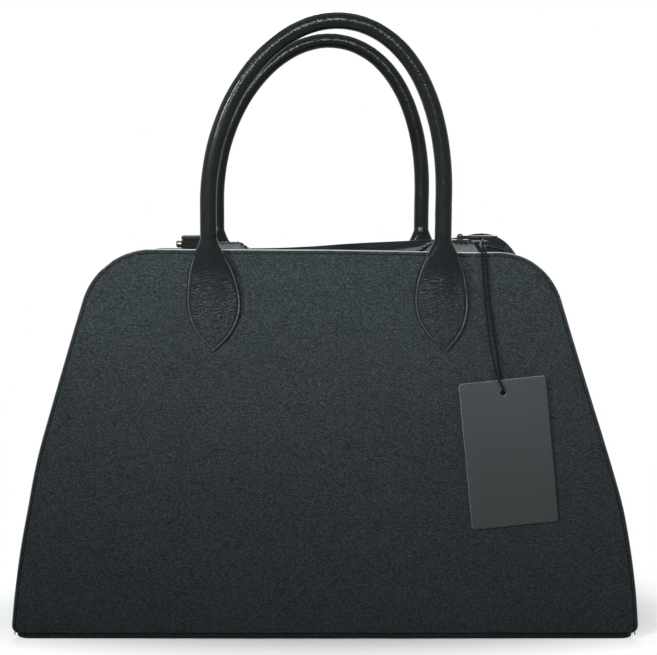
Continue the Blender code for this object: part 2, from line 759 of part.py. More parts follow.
def handle(prefix, way):
    """A leather tube round a core whose ball ends sit over the tabs' necks."""
    axis_z, axis_y = handle_axis()
    bore = HANDLE_RADIUS - HANDLE_WALL
    core = bore - GAP
    ball_rise = math.sqrt(HANDLE_RADIUS ** 2 - core ** 2)
    cover_start = axis_z + ball_rise + 2 * GAP
    line = handle_line(cover_start)
    y = way * axis_y
    outer = tube_rings(line, [HANDLE_RADIUS] * len(line), y)
    inner = tube_rings(line, [bore] * len(line), y)
    rings = outer + list(reversed(inner)) + [outer[0]]
    points = [p for ring in rings[:-1] for p in ring]
    count = HANDLE_SIDES
    total = len(rings) - 1
    faces = []
    for i in range(total):
        for j in range(count):
            k, n = (j + 1) % count, (i + 1) % total
            faces.append((i * count + j, i * count + k, n * count + k, n * count + j))
    cover = add_mesh(prefix + "_handle_cover", points, faces)
    shape = bmesh.new()
    shape.from_mesh(cover.data)
    bmesh.ops.recalc_face_normals(shape, faces=shape.faces)
    shape.to_mesh(cover.data)
    shape.free()
    finish(smooth(cover, math.radians(50)), LEATHER)

    steps = 5
    ends = []
    for i in range(1, steps + 1):
        angle = -math.pi / 2 + (math.pi / 2 + math.acos(core / HANDLE_RADIUS)) * i / (steps + 1)
        ends.append((axis_z + HANDLE_RADIUS * math.sin(angle), HANDLE_RADIUS * math.cos(angle)))
    ends.append((axis_z + ball_rise, core))
    ends.insert(0, (axis_z - HANDLE_RADIUS, HANDLE_RADIUS / steps))
    up = [(-HANDLE_HALF_WIDTH, z) for z, radius in ends]
    down = [(HANDLE_HALF_WIDTH, z) for z, radius in reversed(ends)]
    radii = [radius for z, radius in ends]
    path = up + line[1:-1] + down
    sizes = radii + [core] * len(line[1:-1]) + radii[::-1]
    loft(prefix + "_handle_core", tube_rings(path, sizes, y), CLOTH)


def tab_ring(middle, z, width, back, thick, way, power=ROUND_POWER):
    """One level of a tab: round at its neck, and squarer further down."""
    ring = []
    for j in range(TAB_SIDES):
        angle = 2 * math.pi * j / TAB_SIDES
        c, s = math.cos(angle), math.sin(angle)
        x = math.copysign(abs(c) ** (2 / power), c) * width / 2
        y = back + thick / 2 * (1 + math.copysign(abs(s) ** (2 / power), s))
        ring.append(Vector((middle + x, way * y, z)))
    return ring


def tab(name, way, side):
    """A teardrop patch on a panel, rising into a round neck under the end of the handle."""
    axis_z, axis_y = handle_axis()
    neck_top = axis_z - HANDLE_RADIUS - GAP
    neck_back = axis_y - HANDLE_RADIUS
    across = 2 * HANDLE_RADIUS
    rings = [tab_ring(side * HANDLE_HALF_WIDTH, neck_top, across, neck_back, across, way)]
    for level, width, depth, square in zip(
        TAB_LEVEL_SHARES, TAB_WIDTH_SHARES, TAB_DEPTH_SHARES, TAB_SQUARE_SHARES
    ):
        z = BODY_HEIGHT - TAB_LENGTH * level
        thin = TAB_THICKNESS + (TAB_TIP_THICKNESS - TAB_THICKNESS) * level
        back = face_y(z) + GAP + (neck_back - face_y(BODY_HEIGHT) - GAP) * depth ** 4
        thick = thin + (across - thin) * depth
        power = ROUND_POWER + (SQUARE_POWER - ROUND_POWER) * square
        run = max(level, 0)
        middle = side * (HANDLE_HALF_WIDTH - TAB_BOW * math.sin(math.pi * run)) + TAB_LEAN * run
        rings.append(tab_ring(middle, z, TAB_WIDTH * width, back, thick, way, power))
    loft(name, rings, LEATHER)


# Hanging card and its cord

def card():
    foot_drop = CARD_HEIGHT - CARD_HOLE_DROP
    swing = math.atan((CARD_STAND_OFF - CARD_FOOT_STAND_OFF) / foot_drop)
    depth = -face_y(CARD_HOLE_HEIGHT) - CARD_STAND_OFF
    turn = Matrix.Rotation(math.pi / 2 - LEAN + swing, 4, "X") @ Matrix.Rotation(CARD_ROLL, 4, "Z")
    place = Matrix.Translation((CARD_HOLE_PLACE, depth, CARD_HOLE_HEIGHT)) @ turn
    shift = CARD_HOLE_DROP - CARD_HEIGHT / 2
    outline = [(x, y + shift) for x, y in rounded_rectangle(CARD_WIDTH, CARD_HEIGHT, CARD_CORNER_RADIUS, 3)]
    hole = arc((0, 0), CARD_HOLE_RADIUS, 0, 2 * math.pi, 14)[:-1]
    flat_piece("tag_card", [outline, hole], CARD_THICKNESS, place, CARD_STOCK, CARD_EDGE_ROUND)


def smooth_route(route):
    """Fine points along a smooth curve through the route's points."""
    knots = [Vector(p) for p in route]
    fine = []
    for i in range(len(knots) - 1):
        a, b = knots[max(i - 1, 0)], knots[i]
        c, d = knots[i + 1], knots[min(i + 2, len(knots) - 1)]
        for j in range(CORD_FINE_STEPS):
            t = j / CORD_FINE_STEPS
            curve = (2 * a - 5 * b + 4 * c - d) * t ** 2 + (3 * b - a - 3 * c + d) * t ** 3
            fine.append((2 * b + (c - a) * t + curve) / 2)
    return fine + [knots[-1]]


def cord_points(route):
    """Points a step apart on the curve, and closer where it turns."""
    fine = smooth_route(route)
    kept, run = [fine[0]], 0
    way = (fine[1] - fine[0]).normalized()
    for before, here in zip(fine, fine[1:]):
        step = here - before
        run += step.length
        turned = step.length > 0 and way.angle(step, 0) > CORD_TURN
        if run >= CORD_STEP or (turned and run > 2 * CORD_RADIUS):
            kept.append(here)
            way, run = step.normalized(), 0
    if (kept[-1] - fine[-1]).length < CORD_RADIUS:
        kept.pop()
    return kept + [fine[-1]]


def cord(name, route):
    curve = bpy.data.curves.new(name, "CURVE")
    curve.dimensions = "3D"
    curve.bevel_depth = CORD_RADIUS
    curve.bevel_resolution = 2
    curve.use_fill_caps = True
    points = cord_points(route)
    spline = curve.splines.new("POLY")
    spline.points.add(len(points) - 1)
    for point, place in zip(spline.points, points):
        point.co = (*place, 1)
    obj = bpy.data.objects.new(name, curve)
    BAG.objects.link(obj)
    finish(obj, CLOTH)


def build():
    panel("front_panel", behind=False)
    panel("back_panel", behind=True)
    base()
    gusset("right_gusset", 1)
    gusset("left_gusset", -1)
    lining()
    facing("front_facing", behind=False)
    facing("back_facing", behind=True)
    for prefix, way, stagger in (("front", -1, 0.25), ("back", 1, 0.75)):
        zip_strip(prefix + "_zip_strip", way)
        zip_tape(prefix + "_zip_tape", way)
        zip_teeth(prefix + "_zip_teeth", way, stagger)
        handle(prefix, way)
        tab(prefix + "_left_tab", way, -1)
        tab(prefix + "_right_tab", way, 1)
    zip_ends()
    slider()
    pull()
    card()
    cord("tag_cord", DROP_ROUTE)
    cord("tag_cord_tie", TIE_ROUTE)


build()
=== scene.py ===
"""The tote bag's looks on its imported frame: leather, stitches, zip, handles, card and cord."""

import math

import bmesh
import bpy
import numpy as np
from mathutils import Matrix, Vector, noise


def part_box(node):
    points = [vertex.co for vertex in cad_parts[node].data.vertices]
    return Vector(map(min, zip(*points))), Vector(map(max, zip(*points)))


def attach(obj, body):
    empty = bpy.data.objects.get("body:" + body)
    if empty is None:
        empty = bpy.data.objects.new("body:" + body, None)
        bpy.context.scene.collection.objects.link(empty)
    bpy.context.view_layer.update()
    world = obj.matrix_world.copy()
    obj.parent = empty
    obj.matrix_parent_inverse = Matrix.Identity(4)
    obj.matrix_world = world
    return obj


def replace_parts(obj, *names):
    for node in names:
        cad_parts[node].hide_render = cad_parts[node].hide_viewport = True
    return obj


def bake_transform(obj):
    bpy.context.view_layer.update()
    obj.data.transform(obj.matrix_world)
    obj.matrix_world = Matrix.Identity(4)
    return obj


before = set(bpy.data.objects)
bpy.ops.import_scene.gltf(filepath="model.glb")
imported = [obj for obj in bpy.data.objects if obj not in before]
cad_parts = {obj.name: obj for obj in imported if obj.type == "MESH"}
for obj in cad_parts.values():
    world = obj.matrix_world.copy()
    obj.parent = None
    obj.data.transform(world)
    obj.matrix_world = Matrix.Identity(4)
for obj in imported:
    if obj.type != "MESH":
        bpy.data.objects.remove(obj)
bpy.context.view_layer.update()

# Body
FOOT_WIDTH = 0.3806
BODY_HEIGHT = 0.2345
FOOT_DEPTH = 0.146
MOUTH_DEPTH = 0.110
CORNER_RADIUS = 0.043
SIDE_BEND_HEIGHT = 0.125
SIDE_SLOPE_SHARE = 0.305
FOOT_SLOPE_SHARE = 0.05
FOOT_CORNER_RADIUS = 0.005
PANEL_THICKNESS = 0.003
GAP = 0.0003
BASE_THICKNESS = 0.003
BASE_END_INSET = 0.0028
BASE_CORNER_RADIUS = 0.008
BASE_ROUND = 0.0009
BASE_FACE_INSET = 0.03
BOARD_THICKNESS = 0.002
GUSSET_THICKNESS = 0.0016
FLANGE_WIDTH = 0.007
FLANGE_REVEAL = 0.0008
FOLD_DEPTH = 0.022
GUSSET_TURN_SHARE = 0.5
PUCKER = 0.0005
LINING_THICKNESS = 0.0008
LINING_EASE = 0.0003
FACING_HALF_WIDTH = 0.108
FACING_THICKNESS = 0.0012
FACING_TOP_DROP = 0.001
FACING_EASE = 0.0001
FACING_UNEVEN = 0.00015

# Panel faces
RIM_ROUND = 0.0009
# How far the edge paint with its painted highlight reaches onto a panel's face
PAINTED_RIM_HIGHLIGHT = 0.0006
STITCH_INSET = 0.0023
STITCH_LEVEL = -0.0004
GROOVE_DEPTH = 0.00045
GROOVE_WIDTH = 0.0008
DARK_GROOVE_HALF = 0.00042
CROWN_HEIGHT = 0.0005
CROWN_WIDTH = 0.38
WAVE_HEIGHT = 0.00022
FLAT_EDGE = 0.02
SLACK_FOOT = 0.16
RIM_STEPS = (0.0, 0.0002, 0.0005, 0.0009, 0.0014, 0.0019, 0.0023, 0.0027, 0.0034, 0.0045)
RIM_REACH = 0.007
RIM_NEAR = 0.004
PANEL_COLUMNS = 74

# How far a panel's slack top edge stands above its straight line, by X
REAR_EDGE = (
    (-0.19, -0.001), (-0.145, -0.003), (-0.125, -0.0048), (-0.034, -0.0048), (-0.02, -0.0044),
    (0.0, -0.0034), (0.02, -0.0018), (0.041, -0.0007), (0.06, 0.0001), (0.078, 0.001),
    (0.092, 0.0018), (0.1, 0.0034), (0.113, 0.0066), (0.1264, 0.0095), (0.1351, 0.0098),
    (0.143, 0.006), (0.155, 0.0018), (0.19, 0.0),
)
FRONT_EDGE = (
    (-0.19, 0.0), (-0.14, 0.0001), (-0.105, 0.0005), (-0.045, 0.0002), (0.003, 0.0),
    (0.045, -0.0006), (0.08, -0.0014), (0.093, -0.0016), (0.111, -0.0011), (0.1204, -0.0004),
    (0.13, 0.0), (0.19, 0.0),
)
# How far the soft body leans to the right, by height
SWAY = (
    (0.0, 0.0), (0.03, 0.0004), (0.08, 0.0005), (0.096, -0.0004), (0.114, -0.0011),
    (0.15, -0.0016), (0.18, -0.0019), (0.25, -0.0019),
)
EASE_REACH = (-0.007, -0.0035, 0, 0.0035, 0.007)
EASE_WEIGHTS = (0.12, 0.24, 0.28, 0.24, 0.12)

# Zip
ZIP_LEFT = -0.076
ZIP_RIGHT = 0.096
ZIP_RISE = 0.0015
ZIP_OPEN_HALF = 0.024
ZIP_SAG = 0.03
SAG_LEFT = -0.0525
SAG_RIGHT = 0.07
STRIP_LEFT = -0.072
STRIP_RIGHT = 0.0955
STRIP_THICKNESS = 0.0012
STRIP_TOP_DROP = 0.004
STRIP_SEAM = 0.006
STRIP_RIPPLE = 0.0004
STRIP_STITCH_INSET = 0.0022
STRIP_STITCH_END = 0.003
TAPE_REVEAL = 0.0052
TAPE_THICKNESS = 0.0006
TOOTH_LENGTH = 0.0016
TOOTH_HEIGHT = 0.0022
TOOTH_HALF_WIDTH = 0.00075
BEAD_WIDTH = 0.0011
TOOTH_GAP = 0.0002
LEFT_PARTING = 0.0012
TOOTH_PITCH = 0.0025
# Along a tooth: the share of its length, and its width and height there as shares
TOOTH_STAGES = (
    (0.0, 0.55, 0.55), (0.12, 0.8, 0.8), (0.5, 0.72, 0.86), (0.6, 1.15, 1.0), (1.0, 1.15, 1.0),
)
TOOTH_SECTION = (
    (-1, -0.6), (-0.6, -1), (0.6, -1), (1, -0.6), (1, 0.6), (0.6, 1), (-0.6, 1), (-1, 0.6),
)
END_ROUND = 0.0012
END_UNEVEN = 0.00012
BLOCK_ORDER = Vector((1, 17, 289))
WRAP_HEIGHT = 0.0026
WRAP_ROUND = 0.001
WRAP_GAP = 0.0001
WRAP_STITCH_DROP = 0.0012
WRAP_STITCH_END = 0.0018
WRAP_STITCH_SINK = 0.0002
END_STITCH_INSET = 0.0014
END_STITCH_END = 0.0016
END_STITCH_SINK = 0.00005
END_SOFTNESS = 0.0004
METAL_SOFTNESS = 0.0003
RIVET_SOFTNESS = 0.0002

# Handles and tabs
HANDLE_HALF_WIDTH = 0.0697
HANDLE_TOP = 0.369
HANDLE_RADIUS = 0.005
HANDLE_STAND_OFF = 0.0065
HANDLE_STRAIGHT_RISE = 0.0275
HANDLE_LEAN = 0.006
RIGHT_SHOULDER = 0.0037
HANDLE_UNEVEN = 0.00009
SEAM_DEPTH = 0.00045
SEAM_ANGLE = 0.11
NECK_STEP = 0.0012
TAB_LENGTH = 0.06
TAB_WIDTH = 0.033
TAB_THICKNESS = 0.0026
TAB_TIP_THICKNESS = 0.0018
TAB_TIP_WIDTH = 0.0012
TAB_LEAN = 0.0025
TAB_BOW = 0.0015
TAB_RIDGE = 0.0016
TAB_RIDGE_WIDTH = 0.0052
TAB_UNEVEN = 0.0002
TAB_SIDE = 0.0009
TAB_RIM = 0.0016
TAB_STITCH_INSET = 0.0021
TAB_STITCH_SINK = 0.0005
TAB_STITCH_LEVELS = (0.30, 0.955)
TAB_GROOVE_WIDTH = 0.0006
TAB_GROOVE_EDGES = (0.0018, 0.0026)
TAB_LEVEL_SHARES = (
    -0.12, -0.05, 0.02, 0.09, 0.17, 0.26, 0.36, 0.48, 0.6, 0.7, 0.79, 0.88, 0.95, 1.0,
)
TAB_WIDTH_SHARES = (
    0.303, 0.4, 0.525, 0.665, 0.785, 0.875, 0.94, 1.0, 0.975, 0.88, 0.735, 0.5, 0.245, 0.07,
)
TAB_DEPTH_SHARES = (
    1.0, 0.96, 0.88, 0.77, 0.63, 0.48, 0.32, 0.15, 0.04, 0.0, 0.0, 0.0, 0.0, 0.0,
)
TAB_SQUARE_SHARES = (
    0.0, 0.0, 0.1, 0.2, 0.35, 0.5, 0.7, 0.9, 1.0, 1.0, 1.0, 1.0, 1.0, 1.0,
)
SIDES = 72
TAB_STEPS = 64

# Stitches: their pitch and length, and the thread's radius
PANEL_STITCH = (0.0033, 0.0024, 0.00036)
STRIP_STITCH = (0.003, 0.0022, 0.00022)
END_STITCH = (0.0022, 0.0016, 0.0002)
TAB_STITCH = (0.0029, 0.0021, 0.00024)
STITCH_SINK = 0.0001
STITCH_RINGS = 6
STITCH_SIDES = 6

# Cord
CORD_RADIUS = 0.00065
CORD_STEP = 0.0038
CORD_TURN = math.radians(22)
CORD_FINE_STEPS = 24
STRAND_RADIUS = CORD_RADIUS * 0.95
STRAND_SIDES = 10
DROP_ROUTE = (
    (0.0936, -0.0535, 0.2366), (0.0936, -0.0554, 0.2360), (0.0937, -0.0566, 0.2344),
    (0.0939, -0.0569, 0.2310), (0.0951, -0.0586, 0.2120), (0.0984, -0.0622, 0.1820),
    (0.1026, -0.0664, 0.1605), (0.1061, -0.06775, 0.15275), (0.1064, -0.06694, 0.15090),
    (0.1065, -0.06514, 0.15015), (0.1066, -0.06330, 0.15090), (0.1065, -0.06252, 0.15275),
    (0.1055, -0.06235, 0.1580), (0.1021, -0.0610, 0.1800), (0.0982, -0.0586, 0.2080),
    (0.0962, -0.0569, 0.2300), (0.0960, -0.0566, 0.2344), (0.0960, -0.0554, 0.2360),
    (0.0960, -0.0535, 0.2366),
)
TIE_ROUTE = (
    (0.0936, -0.0532, 0.2366), (0.0944, -0.0440, 0.2366), (0.0970, -0.0280, 0.2372),
    (0.1000, -0.0150, 0.2382), (0.1013, -0.0100, 0.2386), (0.10155, -0.0071, 0.2386),
    (0.10155, -0.00526, 0.23784), (0.10155, -0.0045, 0.2360), (0.10155, -0.00526, 0.23416),
    (0.10155, -0.0071, 0.2334), (0.1013, -0.0100, 0.2332), (0.1005, -0.0150, 0.2332),
    (0.0985, -0.0280, 0.2340), (0.0966, -0.0440, 0.2358), (0.0960, -0.0532, 0.2366),
)
KNOT_PLACE = (0.1028, -0.0150, 0.2342)
KNOT_SIZE = 0.00075
KNOT_HEIGHT = 0.0009

# Camera
CAMERA_PLACE = (-0.0302, -0.877, 0.281)
CAMERA_DOWN = 6.47
CAMERA_SHIFT = 0.0815
LENS = 75.12
FILM_WIDTH = 36

# Stage
FLOOR_DROP = 0.0002
FLOOR_HALF = 3
SHADOW_STRETCH = (0.8, 2.2, 0.0)
SHADOW_REACH = (0.164, 0.25)
DIFFUSE_LIGHT = 0.13
# Lamps: name, place, what it faces, size, watts, colour and spread in degrees
LAMPS = (
    ("key", (-0.06, -0.74, 0.52), (0, -0.06, 0.28), (1.0, 0.12), 1.4, (0.93, 0.975, 1.0), 38),
    ("glint", (-0.6, -0.75, 0.62), (0, -0.06, 0.22), (0.05, 0.05), 0.95, (0.96, 0.98, 1.0), 50),
    ("top", (0, 0.35, 1.7), (0, 0, 0.1), (1.3, 1.3), 4.5, (1, 1, 1), 180),
    ("back", (0, 1.0, 0.95), (0, 0.06, 0.12), (1.2, 0.6), 5.5, (0.96, 0.98, 1.0), 90),
)

# Leather
LEATHER_DARK = (0.0064, 0.0082, 0.0088)
LEATHER_LIGHT = (0.0435, 0.0532, 0.0562)
GRAIN_STRETCH = (0.75, 1, 2.1)
GRAIN_WARP = 0.0032
GRAIN_DEPTH = 0.0008
# Heights where a handle's crinkle fades out and the painted shade on its neck fades in
CRINKLE_AND_SHADE_FADE = (0.2, 0.226)


def new_object(name, data):
    obj = bpy.data.objects.new(name, data)
    bpy.context.scene.collection.objects.link(obj)
    return obj


def camera():
    data = bpy.data.cameras.new("camera")
    data.sensor_fit = "HORIZONTAL"
    data.sensor_width = FILM_WIDTH
    data.lens = LENS
    data.shift_x = CAMERA_SHIFT
    obj = new_object("camera", data)
    obj.location = CAMERA_PLACE
    obj.rotation_euler = (math.radians(90 - CAMERA_DOWN), 0, 0)
    bpy.context.scene.camera = obj


# Material building blocks

class Nodes:
    """A material with short calls for its nodes, whose sockets take values or outputs."""

    def __init__(self, name):
        self.material = bpy.data.materials.new(name)
        self.material.use_nodes = True
        self.tree = self.material.node_tree
        self.shader = self.tree.nodes["Principled BSDF"]

    def feed(self, socket, value):
        if isinstance(value, bpy.types.NodeSocket):
            self.tree.links.new(value, socket)
        else:
            socket.default_value = value

    def out(self, output, kind, sockets=None, **settings):
        """One output of a new node."""
        node = self.tree.nodes.new("ShaderNode" + kind)
        for key, value in settings.items():
            setattr(node, key, value)
        for key, value in (sockets or {}).items():
            self.feed(node.inputs[key], value)
        return node.outputs[output]

    def place(self, scale=(1, 1, 1)):
        """The place on the piece, stretched."""
        own = self.out("Object", "TexCoord")
        return self.out("Vector", "Mapping", {"Vector": own, "Scale": scale})

    def noise(self, place, scale, detail=3.0, roughness=0.55, output="Fac"):
        sockets = {"Vector": place, "Scale": scale, "Detail": detail, "Roughness": roughness}
        return self.out(output, "TexNoise", sockets)

    def warped(self, place, scale, amount):
        """A place moved about by a little noise, so that a pattern on it loses its regularity."""
        moved = self.noise(place, scale, 2.0, 0.5, "Color")
        sockets = {0: moved, 1: (amount, amount, amount), 2: place}
        return self.out("Vector", "VectorMath", sockets, operation="MULTIPLY_ADD")

    def wave(self, place, scale, direction):
        sockets = {"Vector": place, "Scale": scale, "Distortion": 0.4}
        return self.out("Fac", "TexWave", sockets, bands_direction=direction)

    def math(self, operation, first, second):
        return self.out(0, "Math", {0: first, 1: second}, operation=operation)

    def weighted(self, first, share, second, other_share):
        """The sum of two values, each times its share."""
        one = self.math("MULTIPLY", first, share)
        return self.math("ADD", one, self.math("MULTIPLY", second, other_share))

    def spread(self, value, low, high, from_low=0.25, from_high=0.75):
        """A value stretched from one range to another and held in it."""
        sockets = {"Value": value, "From Min": from_low, "From Max": from_high,
                   "To Min": low, "To Max": high}
        return self.out("Result", "MapRange", sockets)

    def mix(self, share, first, second):
        sockets = {"Factor": share, "A": first, "B": second}
        return self.out("Result", "Mix", sockets, data_type="RGBA")

    def colour(self, share, dark, light):
        self.feed(self.shader.inputs["Base Color"], self.mix(share, (*dark, 1), (*light, 1)))

    def bump(self, height, strength, distance):
        sockets = {"Height": height, "Strength": strength, "Distance": distance}
        self.feed(self.shader.inputs["Normal"], self.out("Normal", "Bump", sockets))

    def roughness(self, value, low, high):
        self.feed(self.shader.inputs["Roughness"], self.spread(value, low, high))

    def fixed(self, **values):
        names = {"metallic": "Metallic", "specular": "Specular IOR Level", "sheen": "Sheen Weight"}
        for key, value in values.items():
            self.shader.inputs[names[key]].default_value = value

    def finish(self, pattern, dark, light, rough, bump, **fixed):
        """Colour, roughness and bump by one pattern, and what is the same all over."""
        self.colour(pattern, dark, light)
        self.roughness(pattern, *rough)
        self.bump(pattern, *bump)
        self.fixed(**fixed)
        return self.material


def leather(name, tone=1.0, cell=540, rough=(0.36, 0.5), strength=0.8, specular=0.06,
            crinkle_and_shade=False):
    """Grained leather: flat grains parted by darker valleys that lie mostly level, and creases.

    A leather with crinkle_and_shade is drawn smooth above the foot of a handle, and darkened there
    with painted shade.
    """
    m = Nodes(name)
    place, flat = m.place(), m.place(GRAIN_STRETCH)
    cells = {"Vector": m.warped(flat, cell * 0.35, GRAIN_WARP), "Scale": cell}
    inside = m.out("Distance", "TexVoronoi", cells, feature="DISTANCE_TO_EDGE")
    grains = m.spread(inside, 0, 1, 0.0, 0.2)
    creases = m.spread(m.noise(flat, cell * 0.9, 4.0, 0.65), 0, 1, 0.4, 0.6)
    slow = m.noise(place, 14)
    worn = m.math("MULTIPLY", grains, m.math("ADD", m.math("MULTIPLY", creases, 0.5), 0.5))
    height = m.weighted(grains, 0.55, creases, 0.6)
    share = m.weighted(slow, 0.14, worn, 0.86)
    if crinkle_and_shade:
        lower = m.spread(m.out("Z", "SeparateXYZ", {0: place}), 1.0, 0.1, *CRINKLE_AND_SHADE_FADE)
        height = m.weighted(m.noise(flat, 560, 1.0, 0.4), 1.5, height, 0.15)
        height = m.math("MULTIPLY", m.math("SUBTRACT", height, 0.8), lower)
        # Painted shade: above the crinkle, the smooth neck's colour is darkened to three tenths
        share = m.math("MULTIPLY", share, m.spread(lower, 0.3, 1.0, 0.1, 1.0))
    m.bump(height, strength, GRAIN_DEPTH)
    m.colour(share, [tone * c for c in LEATHER_DARK], [tone * c for c in LEATHER_LIGHT])
    m.roughness(m.weighted(slow, 0.5, creases, 0.5), *rough)
    m.fixed(specular=specular)
    return m.material


def pressed_and_shaded():
    """Leather pressed in a stitched groove and on a folded side, and darkened there with painted
    shade.
    """
    m = Nodes("pressed_and_shaded_leather")
    fine = m.noise(m.place(), 700, 4.0)
    return m.finish(fine, (0.004, 0.005, 0.0055), (0.011, 0.013, 0.014), (0.5, 0.7),
                    (0.3, 0.0002), specular=0.05)


def napped_and_shaded():
    """The leather's unlined inner face: matt and short-haired, and dark with painted shade."""
    m = Nodes("napped_inside_shaded")
    nap = m.noise(m.place(), 1500, 5.0, 0.7)
    return m.finish(nap, (0.006, 0.007, 0.008), (0.014, 0.015, 0.017), (0.85, 0.97),
                    (0.3, 0.0003), specular=0.03)


# Edge paint, lighter than the leather as a painted highlight along the panels' rims
def painted_edge_highlight():
    m = Nodes("edge_paint_highlight")
    grit = m.noise(m.place(), 900, 4.0)
    return m.finish(grit, (0.045, 0.05, 0.053), (0.085, 0.094, 0.1), (0.26, 0.4), (0.3, 0.0002))


def thread():
    m = Nodes("thread")
    twist = m.wave(m.place(), 2600, "DIAGONAL")
    return m.finish(twist, (0.003, 0.003, 0.0035), (0.011, 0.012, 0.013), (0.4, 0.6),
                    (0.5, 0.0001), specular=0.08)


def twill():
    m = Nodes("lining_twill")
    ribs = m.wave(m.place((1, 1, 1.2)), 900, "DIAGONAL")
    slubs = m.noise(m.place(), 160)
    m.colour(m.math("MULTIPLY", ribs, slubs), (0.018, 0.018, 0.020), (0.045, 0.045, 0.048))
    m.roughness(slubs, 0.75, 0.92)
    m.bump(ribs, 0.4, 0.0002)
    m.fixed(sheen=0.1)
    return m.material


def woven_tape():
    m = Nodes("tape_weave")
    place = m.place()
    weave = m.math("MULTIPLY", m.wave(place, 1500, "X"), m.wave(place, 1500, "Y"))
    return m.finish(weave, (0.008, 0.008, 0.009), (0.03, 0.03, 0.033), (0.7, 0.9), (0.5, 0.0002))


def metal(name, dark, light, rough):
    m = Nodes(name)
    brushed = m.noise(m.place((60, 900, 900)), 1, 4.0)
    m.colour(m.noise(m.place(), 220), dark, light)
    m.roughness(brushed, *rough)
    m.bump(brushed, 0.08, 0.0001)
    m.fixed(metallic=1.0)
    return m.material


def card_stock():
    """Matt laminated card, paler along its cut edges."""
    m = Nodes("card_stock")
    fibre = m.noise(m.place(), 1400, 4.0)
    both = m.weighted(fibre, 0.4, m.noise(m.place(), 30, 2.0), 0.6)
    face = m.mix(both, (0.0205, 0.0225, 0.0232, 1), (0.026, 0.0285, 0.0293, 1))
    normal = m.out("Normal", "TexCoord")
    facing = m.out("Value", "VectorMath", {0: normal, 1: (0, -1, 0)}, operation="DOT_PRODUCT")
    edge = m.spread(m.math("ABSOLUTE", facing, 0), 1, 0, 0.6, 0.9)
    m.feed(m.shader.inputs["Base Color"], m.mix(edge, face, (0.30, 0.31, 0.32, 1)))
    m.roughness(fibre, 0.48, 0.62)
    m.bump(fibre, 0.15, 0.0001)
    m.fixed(specular=0.2)
    return m.material


def waxed_cord():
    m = Nodes("waxed_cord")
    twist = m.wave(m.place((1, 1, 0.6)), 1300, "DIAGONAL")
    return m.finish(twist, (0.0022, 0.0027, 0.004), (0.0075, 0.009, 0.0125), (0.38, 0.55),
                    (0.6, 0.0003), specular=0.08)


def board():
    m = Nodes("fibre_board")
    fibre = m.noise(m.place((1, 4, 1)), 500, 5.0)
    return m.finish(fibre, (0.14, 0.115, 0.085), (0.24, 0.20, 0.15), (0.8, 0.95), (0.3, 0.0002))


# Mesh building blocks

def mesh_object(name, points, faces, materials, face_slots=None, angle=40):
    """A smooth mesh that is sharp where it turns by more than an angle in degrees."""
    mesh = bpy.data.meshes.new(name)
    mesh.from_pydata([tuple(p) for p in points], [], faces)
    obj = new_object(name, mesh)
    for material in materials:
        mesh.materials.append(material)
    if face_slots:
        mesh.polygons.foreach_set("material_index", face_slots)
    shape = bmesh.new()
    shape.from_mesh(mesh)
    bmesh.ops.remove_doubles(shape, verts=shape.verts, dist=1e-6)
    bmesh.ops.recalc_face_normals(shape, faces=shape.faces)
    shape.to_mesh(mesh)
    shape.free()
    mesh.shade_smooth()
    mesh.set_sharp_from_angle(angle=math.radians(angle))
    return obj


def grid(rows, columns, wrap=False, offset=0):
    """Faces between rows of points."""
    last = columns if wrap else columns - 1
    return [
        (offset + i * columns + j, offset + i * columns + (j + 1) % columns,
         offset + (i + 1) * columns + (j + 1) % columns, offset + (i + 1) * columns + j)
        for i in range(rows - 1) for j in range(last)
    ]


def closed_grid(rows, columns, offset=0):
    """Faces between rings of points, with one across each end."""
    last = offset + (rows - 1) * columns
    ends = [tuple(range(offset, offset + columns)), tuple(range(last, last + columns))]
    return grid(rows, columns, True, offset) + ends


def thicken(obj, thickness, side, even):
    solid = obj.modifiers.new("thickness", "SOLIDIFY")
    solid.thickness = thickness
    solid.offset = side
    solid.use_even_offset = even


def soften(obj, width, angle):
    rounded = obj.modifiers.new("soft_edges", "BEVEL")
    rounded.width = width
    rounded.segments = 2
    rounded.limit_method = "ANGLE"
    rounded.angle_limit = math.radians(angle)


def apply_modifiers(obj):
    graph = bpy.context.evaluated_depsgraph_get()
    mesh = bpy.data.meshes.new_from_object(obj.evaluated_get(graph))
    obj.modifiers.clear()
    obj.data = mesh
    return obj


def strand(name, path):
    """A closed round piece of cord along points."""
    points = []
    up = Vector((0.13, 0.31, 0.94)).normalized()
    for i, here in enumerate(path):
        along = (path[min(i + 1, len(path) - 1)] - path[max(i - 1, 0)]).normalized()
        across = along.cross(up).normalized()
        other = along.cross(across)
        up = other if other.dot(up) > 0 else -other
        for j in range(STRAND_SIDES):
            angle = 2 * math.pi * j / STRAND_SIDES
            out = across * math.cos(angle) + other * math.sin(angle)
            points.append(here + out * STRAND_RADIUS)
    return mesh_object(name, points, closed_grid(len(path), STRAND_SIDES), [WAXED_CORD])


def on_bag(obj, node):
    """Puts a piece on the bag in the place of a node."""
    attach(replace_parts(obj, node), "bag")


def thick_sheet(node, rows, thickness, side, material, way):
    """A sheet in the place of a node, through rows of points, that faces a way."""
    points = [p for row in rows for p in row]
    obj = mesh_object(node + "_skin", points, grid(len(rows), len(rows[0])), [material])
    if sum((p.normal * p.area for p in obj.data.polygons), Vector()).dot(Vector(way)) < 0:
        obj.data.flip_normals()
    thicken(obj, thickness, side, True)
    soften(obj, thickness * 0.3, 60)
    on_bag(apply_modifiers(obj), node)
    return obj


